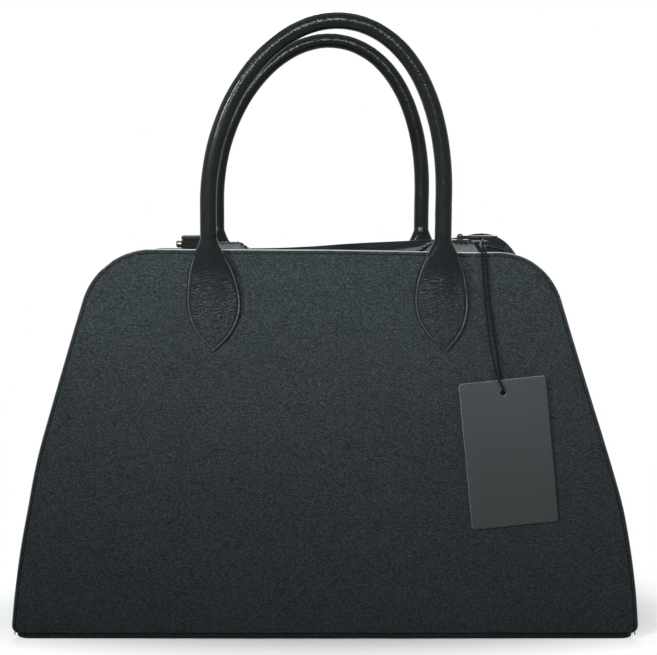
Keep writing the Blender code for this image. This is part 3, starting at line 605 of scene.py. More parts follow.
def stitches(name, path, outward, pitch, length, radius):
    """Separate thread stitches along a path, each dipping into the leather at both ends."""
    marks, run = [], 0.0
    for a, b in zip(path, path[1:]):
        step = (b - a).length
        while run <= step and step > 0:
            marks.append((a.lerp(b, run / step), (b - a).normalized()))
            run += pitch
        run -= step
    out = Vector(outward).normalized()
    points, faces = [], []
    for middle, along in marks:
        across = along.cross(out).normalized()
        faces += closed_grid(STITCH_RINGS, STITCH_SIDES, len(points))
        for k in range(STITCH_RINGS):
            t = 2 * k / (STITCH_RINGS - 1) - 1
            size = radius * max(math.sqrt(max(1 - t * t, 0)), 0.12)
            dip = out * (radius * 0.75 - STITCH_SINK - radius * 1.4 * t * t)
            centre = middle + along * (t * length / 2) + dip
            for j in range(STITCH_SIDES):
                angle = 2 * math.pi * j / STITCH_SIDES
                points.append(centre + (across * math.cos(angle) + out * math.sin(angle)) * size)
    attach(mesh_object(name, points, faces, [THREAD], angle=80), "bag")


# Shapes shared with the solids

LEAN = math.atan((FOOT_DEPTH - MOUTH_DEPTH) / 2 / BODY_HEIGHT)
PANEL_FOOT = BASE_THICKNESS + GAP
LINING_FOOT = PANEL_FOOT + BOARD_THICKNESS + GAP
SIDE_ANGLE = math.atan(SIDE_SLOPE_SHARE)
CORNER_START = BODY_HEIGHT - CORNER_RADIUS * (1 - math.sin(SIDE_ANGLE))
GUSSET_INSET = FLANGE_WIDTH + GUSSET_THICKNESS


def face_y(z):
    return FOOT_DEPTH / 2 + (MOUTH_DEPTH - FOOT_DEPTH) / 2 * z / BODY_HEIGHT


def inner_y(z):
    return face_y(z) - PANEL_THICKNESS / math.cos(LEAN) - GAP


def facing_y(z):
    return inner_y(z) - FACING_THICKNESS / math.cos(LEAN) - GAP


def side_x(z):
    bend = min(z, SIDE_BEND_HEIGHT)
    growth = (SIDE_SLOPE_SHARE - FOOT_SLOPE_SHARE) / SIDE_BEND_HEIGHT
    run = FOOT_SLOPE_SHARE * bend + growth * bend * bend / 2
    return FOOT_WIDTH / 2 - run - SIDE_SLOPE_SHARE * (z - bend)


def side_slope(z):
    return FOOT_SLOPE_SHARE + (SIDE_SLOPE_SHARE - FOOT_SLOPE_SHARE) * min(z / SIDE_BEND_HEIGHT, 1)


CORNER_MIDDLE = (
    side_x(CORNER_START) - CORNER_RADIUS * math.cos(SIDE_ANGLE), BODY_HEIGHT - CORNER_RADIUS,
)


def corner_point(angle):
    return (CORNER_MIDDLE[0] + CORNER_RADIUS * math.cos(angle),
            CORNER_MIDDLE[1] + CORNER_RADIUS * math.sin(angle))


def half_width(z):
    """Half of a panel's width at a height, with its round corners."""
    if z > CORNER_START:
        rise = min(z - CORNER_MIDDLE[1], CORNER_RADIUS)
        return CORNER_MIDDLE[0] + math.sqrt(CORNER_RADIUS ** 2 - rise ** 2)
    foot = max(FOOT_CORNER_RADIUS - (z - PANEL_FOOT), 0)
    cut = FOOT_CORNER_RADIUS - math.sqrt(max(FOOT_CORNER_RADIUS ** 2 - foot ** 2, 0))
    return side_x(z) - cut


def outline(inset=0.0):
    """A panel's edge as X and height, up its right side, over the top and down its left side."""
    points = [(side_x(z), z) for z in np.linspace(PANEL_FOOT, CORNER_START, 60)]
    points += [corner_point(angle) for angle in np.linspace(SIDE_ANGLE, math.pi / 2, 30)[1:]]
    points += [(x, BODY_HEIGHT) for x in np.linspace(CORNER_MIDDLE[0], 0, 30)[1:]]
    right = []
    for i, (x, z) in enumerate(points):
        a, b = points[max(i - 1, 0)], points[min(i + 1, len(points) - 1)]
        length = math.hypot(b[0] - a[0], b[1] - a[1])
        right.append((x - inset * (b[1] - a[1]) / length, z + inset * (b[0] - a[0]) / length))
    return right + [(-x, z) for x, z in reversed(right)][1:]


def eased(table, at):
    """A table's value at a place, without corners."""
    places, values = zip(*table)
    near = [np.interp(at + d, places, values) for d in EASE_REACH]
    return float(np.dot(near, EASE_WEIGHTS))


def edge_rise(x, z, way):
    """How far a panel is drawn up or down with its slack top edge, fading down the panel."""
    near_top = min(max((z - SLACK_FOOT) / (BODY_HEIGHT - SLACK_FOOT), 0), 1.05)
    return eased(REAR_EDGE if way > 0 else FRONT_EDGE, x) * near_top ** 2 if near_top else 0


def sway(z):
    return eased(SWAY, z)


def slack(p):
    """A gusset's or lining's point, moved with the panel that it is nearer to."""
    share = min(abs(p.y) / inner_y(p.z), 1) ** 2
    rise = edge_rise(p.x, p.z, 1 if p.y > 0 else -1)
    return Vector((p.x + sway(p.z), p.y, p.z + share * rise))


# Body

def panel_surface(x, z, edge, way):
    """How far out the leather's face stands from the plane of the panel."""
    crown = math.cos(math.pi * x / CROWN_WIDTH) * math.sin(math.pi * min(z / BODY_HEIGHT, 1))
    waves = noise.noise(Vector((x * 17, z * 21, 3.1 * way)))
    groove = GROOVE_DEPTH * math.exp(-((edge - STITCH_INSET) / GROOVE_WIDTH) ** 2)
    rounding = 0.0
    if edge < RIM_ROUND:
        rounding = RIM_ROUND - math.sqrt(RIM_ROUND ** 2 - (RIM_ROUND - edge) ** 2)
    soft = CROWN_HEIGHT * crown + WAVE_HEIGHT * waves
    return soft * min(edge / FLAT_EDGE, 1) - groove - rounding


SHELL_FACE, SHELL_RIM, SHELL_INSIDE, SHELL_GROOVE = range(4)


def shell_slot(distances):
    """The material slot of a panel's outer face by how far its corners are from the edge."""
    middle = sum(distances) / len(distances)
    # The rim band gets the lightened edge paint: a painted highlight
    if middle < PAINTED_RIM_HIGHLIGHT:
        return SHELL_RIM
    # The band along the stitch groove gets painted shade
    return SHELL_GROOVE if abs(middle - STITCH_INSET) < DARK_GROOVE_HALF else SHELL_FACE


def panel_heights():
    """The heights of a panel's rows, close together near its edges."""
    heights = [PANEL_FOOT + d for d in RIM_STEPS] + [BODY_HEIGHT - d for d in RIM_STEPS]
    heights += list(np.linspace(PANEL_FOOT + RIM_REACH, CORNER_START, 46))
    heights += [corner_point(a)[1] for a in np.linspace(SIDE_ANGLE, math.pi / 2, 18)[1:-1]]
    return sorted({round(h, 6) for h in heights})


def nearest(border, x, z):
    return math.sqrt(((border - (x, z)) ** 2).sum(1).min())


def panel_shell(name, way, node):
    """A leather panel with rounded edges painted light as a painted highlight, and a pressed-in
    stitch line with painted shade.
    """
    above = np.array(outline())
    foot = [(x, PANEL_FOOT) for x in np.linspace(-FOOT_WIDTH / 2, FOOT_WIDTH / 2, 120)]
    border = np.vstack([above, np.array(foot)])
    heights = panel_heights()
    front, back, reach = [], [], []
    for z in heights:
        wide = half_width(z)
        middle = np.linspace(-wide + RIM_REACH, wide - RIM_REACH, PANEL_COLUMNS)
        places = [-wide + d for d in RIM_STEPS] + list(middle)
        for x in places + [wide - d for d in RIM_STEPS[::-1]]:
            straight = min(wide - abs(x), BODY_HEIGHT - z)
            edge = nearest(border, x, z)
            edge = max(min(edge, straight, z - PANEL_FOOT) if edge < RIM_NEAR else edge, 0)
            reach.append(max(min(nearest(above, x, z), straight), 0))
            out = panel_surface(x, z, edge, way)
            inner = PANEL_THICKNESS - max(RIM_ROUND - edge, 0) * 0.5
            moved, rise = x + sway(z), z + edge_rise(x, z, way)
            front.append(Vector((moved, way * (face_y(z) + out), rise)))
            back.append(Vector((moved, way * (face_y(z) - inner), rise)))
    rows, columns, count = len(heights), len(front) // len(heights), len(front)
    faces = grid(rows, columns)
    slots = [shell_slot([reach[k] for k in face]) for face in faces] + [SHELL_INSIDE] * len(faces)
    faces += [tuple(reversed(f)) for f in grid(rows, columns, offset=count)]
    index = np.arange(count).reshape(rows, columns)
    rim = [*index[0], *index[1:, -1], *index[-1, -2::-1], *index[-2:0:-1, 0]]
    rim = [int(k) for k in rim]
    faces += [(a, b, b + count, a + count) for a, b in zip(rim, rim[1:] + rim[:1])]
    slots += [SHELL_RIM] * len(rim)
    materials = [BODY_LEATHER, EDGE_PAINT_HIGHLIGHT, NAPPED_AND_SHADED, PRESSED_AND_SHADED]
    on_bag(mesh_object(name, front + back, faces, materials, slots, 50), node)

    path = [
        Vector((x + sway(z), way * (face_y(z) + STITCH_LEVEL), z + edge_rise(x, z, way)))
        for x, z in outline(STITCH_INSET)
    ]
    stitches(name + "_stitches", path, (0, way, 0), *PANEL_STITCH)


def side_path(steps, turns):
    """Places up the right side and into its corner, each with the direction inwards."""
    path = []
    for z in [PANEL_FOOT] + list(np.linspace(LINING_FOOT, CORNER_START, steps)):
        slope = side_slope(z) if z > LINING_FOOT else 0
        length = math.hypot(1, slope)
        path.append((side_x(z), z, -1 / length, -slope / length))
    turn = (math.pi / 2 - SIDE_ANGLE) * GUSSET_TURN_SHARE
    for i in range(1, turns + 1):
        angle = SIDE_ANGLE + turn * i / turns
        path.append((*corner_point(angle), -math.cos(angle), -math.sin(angle)))
    return path


def fold_row(x, z, inward_x, inward_z, inset, steps, seed):
    """Points across a gusset's wall, folded inwards and puckered a little beside the fold."""
    top = CORNER_START + (BODY_HEIGHT - CORNER_START) * GUSSET_TURN_SHARE
    fold = FOLD_DEPTH * (z / top) ** 2
    row = []
    for j in range(steps + 1):
        across = 2 * j / steps - 1
        soft = (1 - across * across) * PUCKER * noise.noise(Vector((across * 3, z * 34, seed)))
        depth = inset + fold * (1 + math.cos(math.pi * across)) / 2 + soft
        height = z + inward_z * depth
        row.append(Vector((x + inward_x * depth, across * inner_y(height), height)))
    return row


def gusset_skin(name, side):
    rows = []
    for place in side_path(46, 14):
        wall = fold_row(*place, GUSSET_INSET, 28, side * 4.7)
        x, z, inward_x, inward_z = place
        edge = z + inward_z * FLANGE_REVEAL
        rim = Vector((x + inward_x * FLANGE_REVEAL, -inner_y(edge), edge))
        flange = [rim, rim.lerp(wall[0], 0.5)]
        other = [Vector((p.x, -p.y, p.z)) for p in reversed(flange)]
        rows.append([slack(Vector((side * p.x, p.y, p.z))) for p in flange + wall + other])
    obj = thick_sheet(name, rows, GUSSET_THICKNESS, 1, GUSSET_LEATHER, (side, 0, 0))
    obj.data.materials.append(NAPPED_AND_SHADED)
    # The gusset's inner faces get the napped leather, dark with painted shade
    for face in obj.data.polygons:
        if face.normal.x * side < -0.15:
            face.material_index = 1


def lining_skin():
    inset = GUSSET_INSET + GAP + LINING_EASE
    rings = []
    for place in side_path(40, 12)[1:]:
        right = fold_row(*place, inset, 24, 9.3)
        rings.append([slack(p) for p in right + [Vector((-p.x, -p.y, p.z)) for p in right]])
    count = len(rings[0])
    points = [p for ring in rings for p in ring]
    faces = grid(len(rings), count, wrap=True) + [tuple(reversed(range(count)))]
    obj = mesh_object("lining_skin", points, faces, [TWILL])
    thicken(obj, LINING_THICKNESS, -1, False)
    on_bag(apply_modifiers(obj), "lining")


def base_skin():
    """The leather base, with its edge turned."""
    r = BASE_CORNER_RADIUS
    x, y = (FOOT_WIDTH - 2 * BASE_END_INSET) / 2 - r, FOOT_DEPTH / 2 - r
    ring = []
    for k, (cx, cy) in enumerate(((x, y), (-x, y), (-x, -y), (x, -y))):
        for a in np.linspace(math.pi / 2 * k, math.pi / 2 * (k + 1), 9):
            ring.append((cx + r * math.cos(a), cy + r * math.sin(a), math.cos(a), math.sin(a)))
    part = BASE_ROUND * 0.3
    half = [(BASE_FACE_INSET, 0.0), (BASE_ROUND, 0.0), (part, part), (0.0, BASE_ROUND)]
    levels = half + [(inset, BASE_THICKNESS - z) for inset, z in reversed(half)]
    points = [
        Vector((px - nx * inset, py - ny * inset, z)) for inset, z in levels
        for px, py, nx, ny in ring
    ]
    faces = closed_grid(len(levels), len(ring))
    on_bag(mesh_object("base_skin", points, faces, [BASE_LEATHER_SHADED]), "base_panel")


def facing_skin(name, way):
    _, top, _, inward = side_path(4, 4)[-1]
    foot = top + inward * (GUSSET_INSET + GAP) + GAP
    rows = []
    for x in np.linspace(-FACING_HALF_WIDTH, FACING_HALF_WIDTH, 60):
        row = []
        for z in np.linspace(foot, BODY_HEIGHT - FACING_TOP_DROP, 7):
            soft = FACING_UNEVEN * noise.noise(Vector((x * 40, z * 60, way * 2.0)))
            y = inner_y(z) - FACING_EASE + soft
            row.append(Vector((x, way * y, z + edge_rise(x, z, way))))
        rows.append(row)
    # The facing is napped leather, dark with painted shade inside the mouth
    thick_sheet(name, rows, FACING_THICKNESS, 1, NAPPED_AND_SHADED, (0, -way, 0))


# Zip

def parted(x):
    middle, half = (ZIP_LEFT + ZIP_RIGHT) / 2, (ZIP_RIGHT - ZIP_LEFT) / 2
    return (1 + math.cos(math.pi * (x - middle) / half)) / 2


def teeth_y(x):
    closed = TOOTH_GAP + LEFT_PARTING * (ZIP_RIGHT - x) / (ZIP_RIGHT - ZIP_LEFT)
    return closed + ZIP_OPEN_HALF * parted(x)


def zip_z(x):
    run = (x - SAG_LEFT) / (SAG_RIGHT - SAG_LEFT)
    hang = math.sin(math.pi * run) if 0 < run < 1 else 0
    return BODY_HEIGHT + ZIP_RISE - ZIP_SAG * hang


def strip_y(x):
    return teeth_y(x) + TOOTH_LENGTH + BEAD_WIDTH + TAPE_REVEAL


def strip_skin(name, way):
    """The leather strip from its seam on the facing, over a fold and across to the tape."""
    fold = BODY_HEIGHT - STRIP_TOP_DROP
    rows = []
    for x in np.linspace(STRIP_LEFT, STRIP_RIGHT, 72):
        rise = edge_rise(x, fold, way)
        seam = np.linspace(fold - STRIP_SEAM, fold, 4)
        row = [Vector((x, way * facing_y(z), z + rise)) for z in seam]
        for share in np.linspace(0, 1, 12)[1:]:
            y = facing_y(fold) + (strip_y(x) - facing_y(fold)) * share
            uneven = noise.noise(Vector((x * 30, share * 2, way)))
            ripple = STRIP_RIPPLE * math.sin(math.pi * share) * uneven
            z = fold + (zip_z(x) - fold) * share + rise * (1 - share) + ripple
            row.append(Vector((x, way * y, z)))
        rows.append(row)
    thick_sheet(name, rows, STRIP_THICKNESS, -1, STRIP_LEATHER_SHADED, (0, 0, 1))
    path = []
    for x in np.linspace(STRIP_LEFT + STRIP_STITCH_END, STRIP_RIGHT - STRIP_STITCH_END, 90):
        slope = (zip_z(x) - fold) / (strip_y(x) - facing_y(fold))
        y = strip_y(x) + STRIP_STITCH_INSET
        path.append(Vector((x, way * y, zip_z(x) + slope * STRIP_STITCH_INSET)))
    stitches(name + "_stitches", path, (0, 0, 1), *STRIP_STITCH)


def tape_skin(name, way):
    rows = []
    for x in np.linspace(ZIP_LEFT, ZIP_RIGHT, 90):
        near = teeth_y(x) + TOOTH_LENGTH + BEAD_WIDTH * 0.5
        far = strip_y(x) - GAP * 0.5
        top = zip_z(x) - (STRIP_THICKNESS - TAPE_THICKNESS) / 2
        rows.append([Vector((x, way * y, top)) for y in np.linspace(near, far, 6)])
    thick_sheet(name, rows, TAPE_THICKNESS, -1, TAPE_WEAVE, (0, 0, 1))


def teeth_skin(name, way, stagger):
    """A row of separate cast teeth clamped on the tape's bead."""
    points, faces = [], []
    x = ZIP_LEFT + stagger * TOOTH_PITCH
    while x < ZIP_RIGHT - 0.4 * TOOTH_PITCH:
        near, far = teeth_y(x), teeth_y(x) + TOOTH_LENGTH + BEAD_WIDTH
        middle, half = zip_z(x) - STRIP_THICKNESS / 2, TOOTH_HEIGHT / 2
        faces += closed_grid(len(TOOTH_STAGES), len(TOOTH_SECTION), len(points))
        for share, wide, tall in TOOTH_STAGES:
            y = way * (near + (far - near) * share)
            points += [
                Vector((x + across * wide * TOOTH_HALF_WIDTH, y, middle + up * tall * half))
                for across, up in TOOTH_SECTION
            ]
        x += TOOTH_PITCH
    skin = mesh_object(name + "_skin", points, faces, [DARK_METAL], angle=35)
    on_bag(skin, name)


def soft_block(name, low, high, round_edge, material):
    """A padded leather block with rounded edges and a slightly uneven skin."""
    mesh = bpy.data.meshes.new(name)
    shape = bmesh.new()
    bmesh.ops.create_cube(shape, size=1.0)
    low, high = Vector(low), Vector(high)
    bmesh.ops.scale(shape, vec=high - low, verts=shape.verts)
    bmesh.ops.translate(shape, vec=(low + high) / 2, verts=shape.verts)
    bmesh.ops.bevel(shape, geom=shape.edges[:], offset=round_edge, segments=3, profile=0.6,
                    affect="EDGES")
    bmesh.ops.subdivide_edges(shape, edges=shape.edges[:], cuts=2, use_grid_fill=True)
    for v in shape.verts:
        v.co += v.co.normalized() * END_UNEVEN * noise.noise(v.co * 420)
    # Subdividing leaves them in an order that differs between runs
    shape.verts.sort(key=lambda v: v.co.dot(BLOCK_ORDER))
    shape.faces.sort(key=lambda f: f.calc_center_median().dot(BLOCK_ORDER))
    shape.to_mesh(mesh)
    shape.free()
    mesh.materials.append(material)
    mesh.shade_smooth()
    return new_object(name, mesh)


def dress(name, material, softness=0.0):
    """Gives a carried-over solid its material, and soft edges."""
    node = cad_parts[name]
    node.data.materials.clear()
    node.data.materials.append(material)
    if softness:
        soften(node, softness, 50)
    node.data.shade_smooth()


def zip_end_skins():
    low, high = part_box("left_zip_end")
    split = high.z - WRAP_HEIGHT
    body = soft_block("left_end_body", low, (high.x, high.y, split), END_ROUND, END_LEATHER_SHADED)
    wrap_low = (low.x, low.y, split + WRAP_GAP)
    wrap = soft_block("left_end_wrap", wrap_low, high, WRAP_ROUND, BAND_LEATHER)
    on_bag(body, "left_zip_end")
    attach(wrap, "bag")
    y, z = low.y + WRAP_STITCH_SINK, split - WRAP_STITCH_DROP
    line = np.linspace(low.x + WRAP_STITCH_END, high.x - WRAP_STITCH_END, 12)
    stitches("left_end_stitches", [Vector((x, y, z)) for x in line], (0, -1, 0), *END_STITCH)

    dress("right_zip_end", END_LEATHER_SHADED, END_SOFTNESS)
    low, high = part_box("right_zip_end")
    y, z = low.y + END_STITCH_INSET, high.z - END_STITCH_SINK
    line = np.linspace(low.x + END_STITCH_END, high.x - END_STITCH_END, 10)
    stitches("right_end_stitches", [Vector((x, y, z)) for x in line], (0, 0, 1), *END_STITCH)


# Handles

HANDLE_Y = face_y(BODY_HEIGHT) + HANDLE_STAND_OFF


def smooth_table(shares, values, steps):
    """Values between those of a table, without corners."""
    fine = np.linspace(shares[0], shares[-1], steps)
    slopes = np.gradient(np.array(values), np.array(shares))
    out = []
    for s in fine:
        i = min(max(int(np.searchsorted(shares, s, side="right")) - 1, 0), len(shares) - 2)
        h = shares[i + 1] - shares[i]
        t = (s - shares[i]) / h
        a, b = values[i], values[i + 1]
        out.append((2 * t ** 3 - 3 * t ** 2 + 1) * a + (t ** 3 - 2 * t ** 2 + t) * h * slopes[i]
                   + (3 * t ** 2 - 2 * t ** 3) * b + (t ** 3 - t ** 2) * h * slopes[i + 1])
    return fine, np.array(out)


def tab_middle(side, level):
    run = max(level, 0)
    return side * (HANDLE_HALF_WIDTH - TAB_BOW * math.sin(math.pi * run)) + TAB_LEAN * run


def tab_thickness(level, depth):
    """A tab's thickness, which grows to the tube's own towards the neck."""
    thin = TAB_THICKNESS + (TAB_TIP_THICKNESS - TAB_THICKNESS) * level
    return thin + (2 * HANDLE_RADIUS - thin) * depth


def tab_rings(side, way):
    """Rings of a teardrop patch from its tip up to the round neck."""
    levels, widths = smooth_table(TAB_LEVEL_SHARES, TAB_WIDTH_SHARES, TAB_STEPS)
    depths, squares = (
        np.clip(smooth_table(TAB_LEVEL_SHARES, values, TAB_STEPS)[1], 0, 1)
        for values in (TAB_DEPTH_SHARES, TAB_SQUARE_SHARES)
    )
    neck_back = HANDLE_Y - HANDLE_RADIUS
    rings = []
    for level, width, depth, square in list(zip(levels, widths, depths, squares))[::-1]:
        z = BODY_HEIGHT - TAB_LENGTH * level
        back = face_y(z) + GAP + (neck_back - face_y(BODY_HEIGHT) - GAP) * depth ** 4
        thick = tab_thickness(level, depth)
        power = 2 / (2 + 3 * square)
        wide = max(TAB_WIDTH * width, TAB_TIP_WIDTH)
        ridge = TAB_RIDGE * math.exp(-((level - 0.34) / 0.2) ** 2)
        flat = min(max(level / 0.3, 0), 1)
        ring = []
        for j in range(SIDES):
            angle = 2 * math.pi * j / SIDES
            c, s = math.cos(angle), math.sin(angle)
            x = math.copysign(abs(c) ** power, c) * wide / 2
            y = back + thick / 2 * (1 + math.copysign(abs(s) ** power, s))
            if s > 0:
                inside = (wide / 2 - abs(x) - TAB_STITCH_INSET) / TAB_GROOVE_WIDTH
                y += ridge * math.exp(-(x / TAB_RIDGE_WIDTH) ** 2)
                y -= GROOVE_DEPTH * math.exp(-inside ** 2) * flat
                y += TAB_UNEVEN * noise.noise(Vector((x * 160, z * 420, side * way))) * flat
            ring.append(Vector((tab_middle(side, level) - side * x, way * y, z)))
        rings.append(ring)
    return rings


TAB_FACE, TAB_BURNISH_HIGHLIGHT, TAB_PRESSED_AND_SHADED = range(3)


def tab_slot(level, edge, front):
    """The material slot of a tab's face: leather, burnished rim with a painted highlight, or
    pressed groove and side with painted shade.
    """
    if level < 0.06:
        return TAB_FACE
    # Painted shade on a tab's sides and back, where it lies on the panel
    if not front or edge < TAB_SIDE:
        return TAB_PRESSED_AND_SHADED
    # Painted highlight: the burnished rim is lighter than the tab's leather
    if edge < TAB_RIM:
        return TAB_BURNISH_HIGHLIGHT
    low, high = TAB_GROOVE_EDGES
    return TAB_PRESSED_AND_SHADED if low < edge < high and level > 0.2 else TAB_FACE


def handle_slots(rings):
    """The material slots of a handle's faces, ring by ring."""
    top, tip = TAB_LEVEL_SHARES[0], TAB_LEVEL_SHARES[-1]
    slots = []
    for i, ring in enumerate(rings[:-1]):
        steps = min(i, len(rings) - 2 - i)
        level = tip - (steps + 0.5) / (TAB_STEPS - 1) * (tip - top)
        low, high = min(p.x for p in ring), max(p.x for p in ring)
        for j in range(SIDES):
            x = (ring[j].x + ring[(j + 1) % SIDES].x) / 2
            slot = tab_slot(level, min(x - low, high - x), j < SIDES // 2)
            slots.append(slot if steps < TAB_STEPS - 1 else TAB_FACE)
    return slots


def handle_line():
    """A handle's middle line as X and height, between the necks of its tabs."""
    spring = BODY_HEIGHT + HANDLE_STRAIGHT_RISE
    foot = BODY_HEIGHT - TAB_LENGTH * TAB_LEVEL_SHARES[0] + NECK_STEP
    line = [(-HANDLE_HALF_WIDTH, z) for z in np.linspace(foot, spring, 14)[:-1]]
    for t in np.linspace(math.pi, 0, 110):
        rise, run = math.sin(t), math.cos(t)
        shoulder = RIGHT_SHOULDER * rise * max(run, 0)
        x = HANDLE_HALF_WIDTH * run + HANDLE_LEAN * rise * rise + shoulder
        line.append((x, spring + (HANDLE_TOP - spring) * rise))
    return line + [(HANDLE_HALF_WIDTH, z) for z in np.linspace(spring, foot, 14)[1:]]


def tube_rings(way):
    """Rings round a rolled handle, with the shallow groove of its seam."""
    line = handle_line()
    rings = []
    for i, (x, z) in enumerate(line):
        a, b = line[max(i - 1, 0)], line[min(i + 1, len(line) - 1)]
        along = Vector((b[0] - a[0], 0, b[1] - a[1])).normalized()
        across = Vector((along.z, 0, -along.x))
        ring = []
        for j in range(SIDES):
            angle = 2 * math.pi * j / SIDES
            c, s = math.cos(angle), math.sin(angle)
            seam = min(angle, 2 * math.pi - angle)
            size = HANDLE_RADIUS - SEAM_DEPTH * math.exp(-(seam / SEAM_ANGLE) ** 2)
            size += HANDLE_UNEVEN * noise.noise(Vector((i * 0.22, c * 2, s * 2 + way)))
            direction = across * c + Vector((0, way, 0)) * s
            ring.append(Vector((x, way * HANDLE_Y, z)) + direction * size)
        rings.append(ring)
    return rings


def handle_skin(prefix, way):
    """One rolled leather handle that runs out into a teardrop tab at each end."""
    rings = tab_rings(-1, way) + tube_rings(way) + tab_rings(1, way)[::-1]
    points = [p for ring in rings for p in ring]
    slots = handle_slots(rings) + [TAB_PRESSED_AND_SHADED, TAB_PRESSED_AND_SHADED]
    faces = closed_grid(len(rings), SIDES)
    materials = [TAB_LEATHER, BURNISHED_RIM_HIGHLIGHT, PRESSED_AND_SHADED]
    obj = mesh_object(prefix + "_handle_skin", points, faces, materials, slots, 55)
    nodes = [prefix + end for end in ("_handle_cover", "_handle_core", "_left_tab", "_right_tab")]
    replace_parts(obj, *nodes)
    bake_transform(obj)
    for side, word in ((-1, "left"), (1, "right")):
        tab_stitches(prefix + "_" + word + "_tab_stitches", side, way)


def tab_stitches(name, side, way):
    levels, widths = smooth_table(TAB_LEVEL_SHARES, TAB_WIDTH_SHARES, 90)
    first, last = TAB_STITCH_LEVELS
    left, right = [], []
    for level, width in zip(levels, widths):
        inner = TAB_WIDTH * width / 2 - TAB_STITCH_INSET
        if first < level < last and inner > 0:
            z = BODY_HEIGHT - TAB_LENGTH * level
            depth = np.interp(level, TAB_LEVEL_SHARES, TAB_DEPTH_SHARES)
            y = way * (face_y(z) + GAP + tab_thickness(level, depth) - TAB_STITCH_SINK)
            left.append(Vector((tab_middle(side, level) - inner, y, z)))
            right.append(Vector((tab_middle(side, level) + inner, y, z)))
    stitches(name, left + right[::-1], (0, way, 0), *TAB_STITCH)


# Cord and card

def cord_points(route):
    """Points a step apart on the curve through a route, and closer where it turns."""
    knots = [Vector(p) for p in route]
    fine = []
    for i in range(len(knots) - 1):
        a, b = knots[max(i - 1, 0)], knots[i]
        c, d = knots[i + 1], knots[min(i + 2, len(knots) - 1)]
        for j in range(CORD_FINE_STEPS):
            t = j / CORD_FINE_STEPS
            curve = (2 * a - 5 * b + 4 * c - d) * t ** 2 + (3 * b - a - 3 * c + d) * t ** 3
            fine.append((2 * b + (c - a) * t + curve) / 2)
    fine.append(knots[-1])
    kept, run = [fine[0]], 0
    way = (fine[1] - fine[0]).normalized()
    for before, here in zip(fine, fine[1:]):
        step = here - before
        run += step.length
        turned = step.length > 0 and way.angle(step, 0) > CORD_TURN
        if run >= CORD_STEP or (turned and run > 2 * CORD_RADIUS):
            kept.append(here)
            way, run = step.normalized(), 0
    if (kept[-1] - fine[-1]).length < CORD_RADIUS:
        kept.pop()
    return kept + [fine[-1]]


def cord(name, route, body):
    points = cord_points(route)
    curve = bpy.data.curves.new(name + "_strand", "CURVE")
    curve.dimensions = "3D"
    curve.bevel_depth = CORD_RADIUS
    curve.bevel_resolution = 4
    curve.use_fill_caps = True
    spline = curve.splines.new("POLY")
    spline.points.add(len(points) - 1)
    for point, place in zip(spline.points, points):
        point.co = (*place, 1)
    curve.materials.append(WAXED_CORD)
    obj = new_object(name + "_strand", curve)
    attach(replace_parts(obj, name), body)


def tail(start, x, y, z, droop):
    """A cut end of the cord, in steps that droop more and more."""
    return [start + Vector((x * k, y * k, z * k - droop * k * k)) for k in range(6)]


def knot():
    """The cord's knot over the front edge of the zip's right end, with its two cut ends."""
    x, y, z = KNOT_PLACE
    path = []
    for i in range(61):
        t = 2 * math.pi * i / 60
        aside = KNOT_SIZE * (math.sin(t) + 2 * math.sin(2 * t))
        along = KNOT_SIZE * (math.cos(t) - 2 * math.cos(2 * t))
        path.append(Vector((x + aside, y + along, z - KNOT_HEIGHT * math.sin(3 * t))))
    strands = {
        "cord_knot": path[:-2],
        "cord_tail_front": tail(path[0], 0.0023, -0.0004, -0.0001, 0.00009),
        "cord_tail_back": tail(path[-3], 0.0015, 0.0007, 0.00025, 0.0001),
    }
    pieces = []
    for name, points in strands.items():
        pieces.append(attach(strand(name, points), "bag"))
    return pieces


# Stage

def lamp(name, place, target, size, power, colour, spread):
    data = bpy.data.lights.new(name, "AREA")
    data.shape = "RECTANGLE"
    data.size, data.size_y = size
    data.energy = power
    data.color = colour
    data.spread = math.radians(spread)
    obj = new_object(name, data)
    obj.location = place
    obj.rotation_euler = (Vector(target) - Vector(place)).to_track_quat("-Z", "Y").to_euler()
    obj.visible_camera = False


def floor_paper():
    """Paper that keeps the shadow near the bag and is plain white further off."""
    m = Nodes("floor_paper")
    m.shader.inputs["Base Color"].default_value = (0.93, 0.93, 0.93, 1)
    m.shader.inputs["Roughness"].default_value = 1.0
    m.fixed(specular=0.0)
    far = m.out("Value", "VectorMath", {0: m.place(SHADOW_STRETCH)}, operation="LENGTH")
    share = m.spread(far, 0.0, 1.0, *SHADOW_REACH)
    rays = m.tree.nodes.new("ShaderNodeLightPath").outputs
    mirrored = m.math("MAXIMUM", rays["Is Glossy Ray"], rays["Is Transmission Ray"])
    seen = m.math("MAXIMUM", mirrored, rays["Is Camera Ray"])
    white = m.out(0, "Emission")
    sockets = {"Fac": m.math("MULTIPLY", share, seen), 1: m.shader.outputs[0], 2: white}
    output = next(n for n in m.tree.nodes if n.type == "OUTPUT_MATERIAL")
    m.feed(output.inputs["Surface"], m.out(0, "MixShader", sockets))
    return m.material


def studio():
    """A world that is white to the camera and in reflections, and a dim light on all else."""
    world = bpy.data.worlds.new("studio")
    bpy.context.scene.world = world
    world.use_nodes = True
    tree = world.node_tree
    background = tree.nodes["Background"]
    background.inputs["Color"].default_value = (1, 1, 1, 1)
    rays = tree.nodes.new("ShaderNodeLightPath")
    level = tree.nodes.new("ShaderNodeMapRange")
    level.inputs["To Min"].default_value = 1.0
    level.inputs["To Max"].default_value = DIFFUSE_LIGHT
    tree.links.new(rays.outputs["Is Diffuse Ray"], level.inputs["Value"])
    tree.links.new(level.outputs["Result"], background.inputs["Strength"])


def stage():
    mesh = bpy.data.meshes.new("floor")
    corners = ((-1, -1), (1, -1), (1, 1), (-1, 1))
    points = [(x * FLOOR_HALF, y * FLOOR_HALF, -FLOOR_DROP) for x, y in corners]
    mesh.from_pydata(points, [], [(0, 1, 2, 3)])
    mesh.materials.append(floor_paper())
    new_object("floor", mesh)
    studio()
    for settings in LAMPS:
        lamp(*settings)


camera()

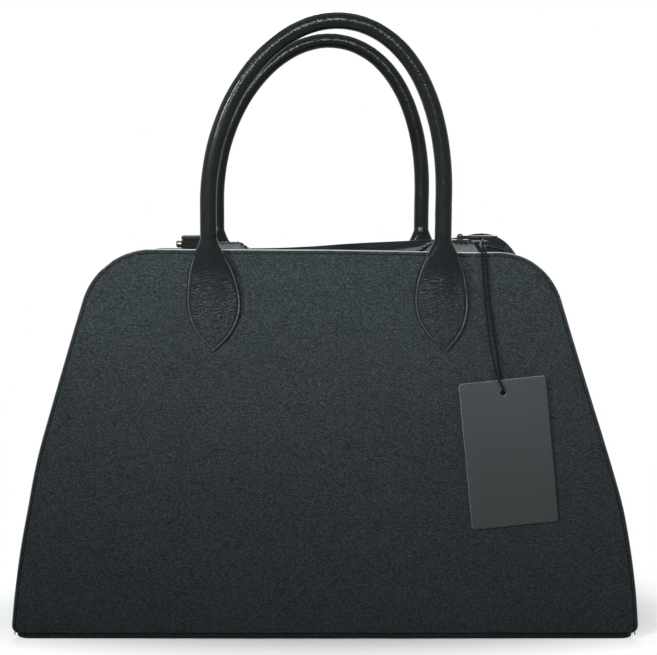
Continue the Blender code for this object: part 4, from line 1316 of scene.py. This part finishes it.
BODY_LEATHER = leather("body_leather")
GUSSET_LEATHER = leather("gusset_leather", 0.9)
# Base at half the body leather's tone: painted shade under the bag
BASE_LEATHER_SHADED = leather("base_leather_shaded", 0.5, 500, (0.5, 0.65))
TAB_LEATHER = leather("tab_leather", 0.45, 560, (0.14, 0.25), 1.0, 0.1, crinkle_and_shade=True)
# Zip strips at 0.42 of the body leather's tone: painted shade
STRIP_LEATHER_SHADED = leather("strip_leather_shaded", 0.42, 700, (0.45, 0.6), 0.5, 0.04)
# Zip ends at 0.3 of the body leather's tone: painted shade, left lighter in the top band
END_LEATHER_SHADED = leather("zip_end_leather_shaded", 0.3, 900, (0.3, 0.45), 0.5)
BAND_LEATHER = leather("zip_end_band", 0.6, 900, (0.3, 0.45), 0.5)
PRESSED_AND_SHADED = pressed_and_shaded()
# Burnished rim, lighter than the tab leather as a painted highlight
BURNISHED_RIM_HIGHLIGHT = leather("burnished_rim_highlight", 1.2, 620, (0.2, 0.34), 0.3, 0.12)
EDGE_PAINT_HIGHLIGHT = painted_edge_highlight()
NAPPED_AND_SHADED = napped_and_shaded()
THREAD = thread()
TWILL = twill()
TAPE_WEAVE = woven_tape()
DARK_METAL = metal("dark_metal", (0.01, 0.01, 0.0105), (0.028, 0.028, 0.029), (0.28, 0.42))
WARM_METAL = metal("warm_metal", (0.07, 0.058, 0.05), (0.15, 0.125, 0.105), (0.34, 0.48))
CARD = card_stock()
WAXED_CORD = waxed_cord()
BOARD = board()

tails = knot()
cord("tag_cord", DROP_ROUTE, "hang_tag")
cord("tag_cord_tie", TIE_ROUTE, "bag")

panel_shell("front_shell", -1, "front_panel")
panel_shell("back_shell", 1, "back_panel")
gusset_skin("left_gusset", -1)
gusset_skin("right_gusset", 1)
base_skin()
lining_skin()
for prefix, way, stagger in (("front", -1, 0.25), ("back", 1, 0.75)):
    facing_skin(prefix + "_facing", way)
    strip_skin(prefix + "_zip_strip", way)
    tape_skin(prefix + "_zip_tape", way)
    teeth_skin(prefix + "_zip_teeth", way, stagger)
    handle_skin(prefix, way)
zip_end_skins()
dress("base_board", BOARD)
dress("left_zip_rivet", WARM_METAL, RIVET_SOFTNESS)
dress("zip_slider", DARK_METAL, METAL_SOFTNESS)
dress("zip_pull", DARK_METAL, METAL_SOFTNESS)
dress("tag_card", CARD)
stage()
bpy.context.scene.view_settings.view_transform = "Standard"
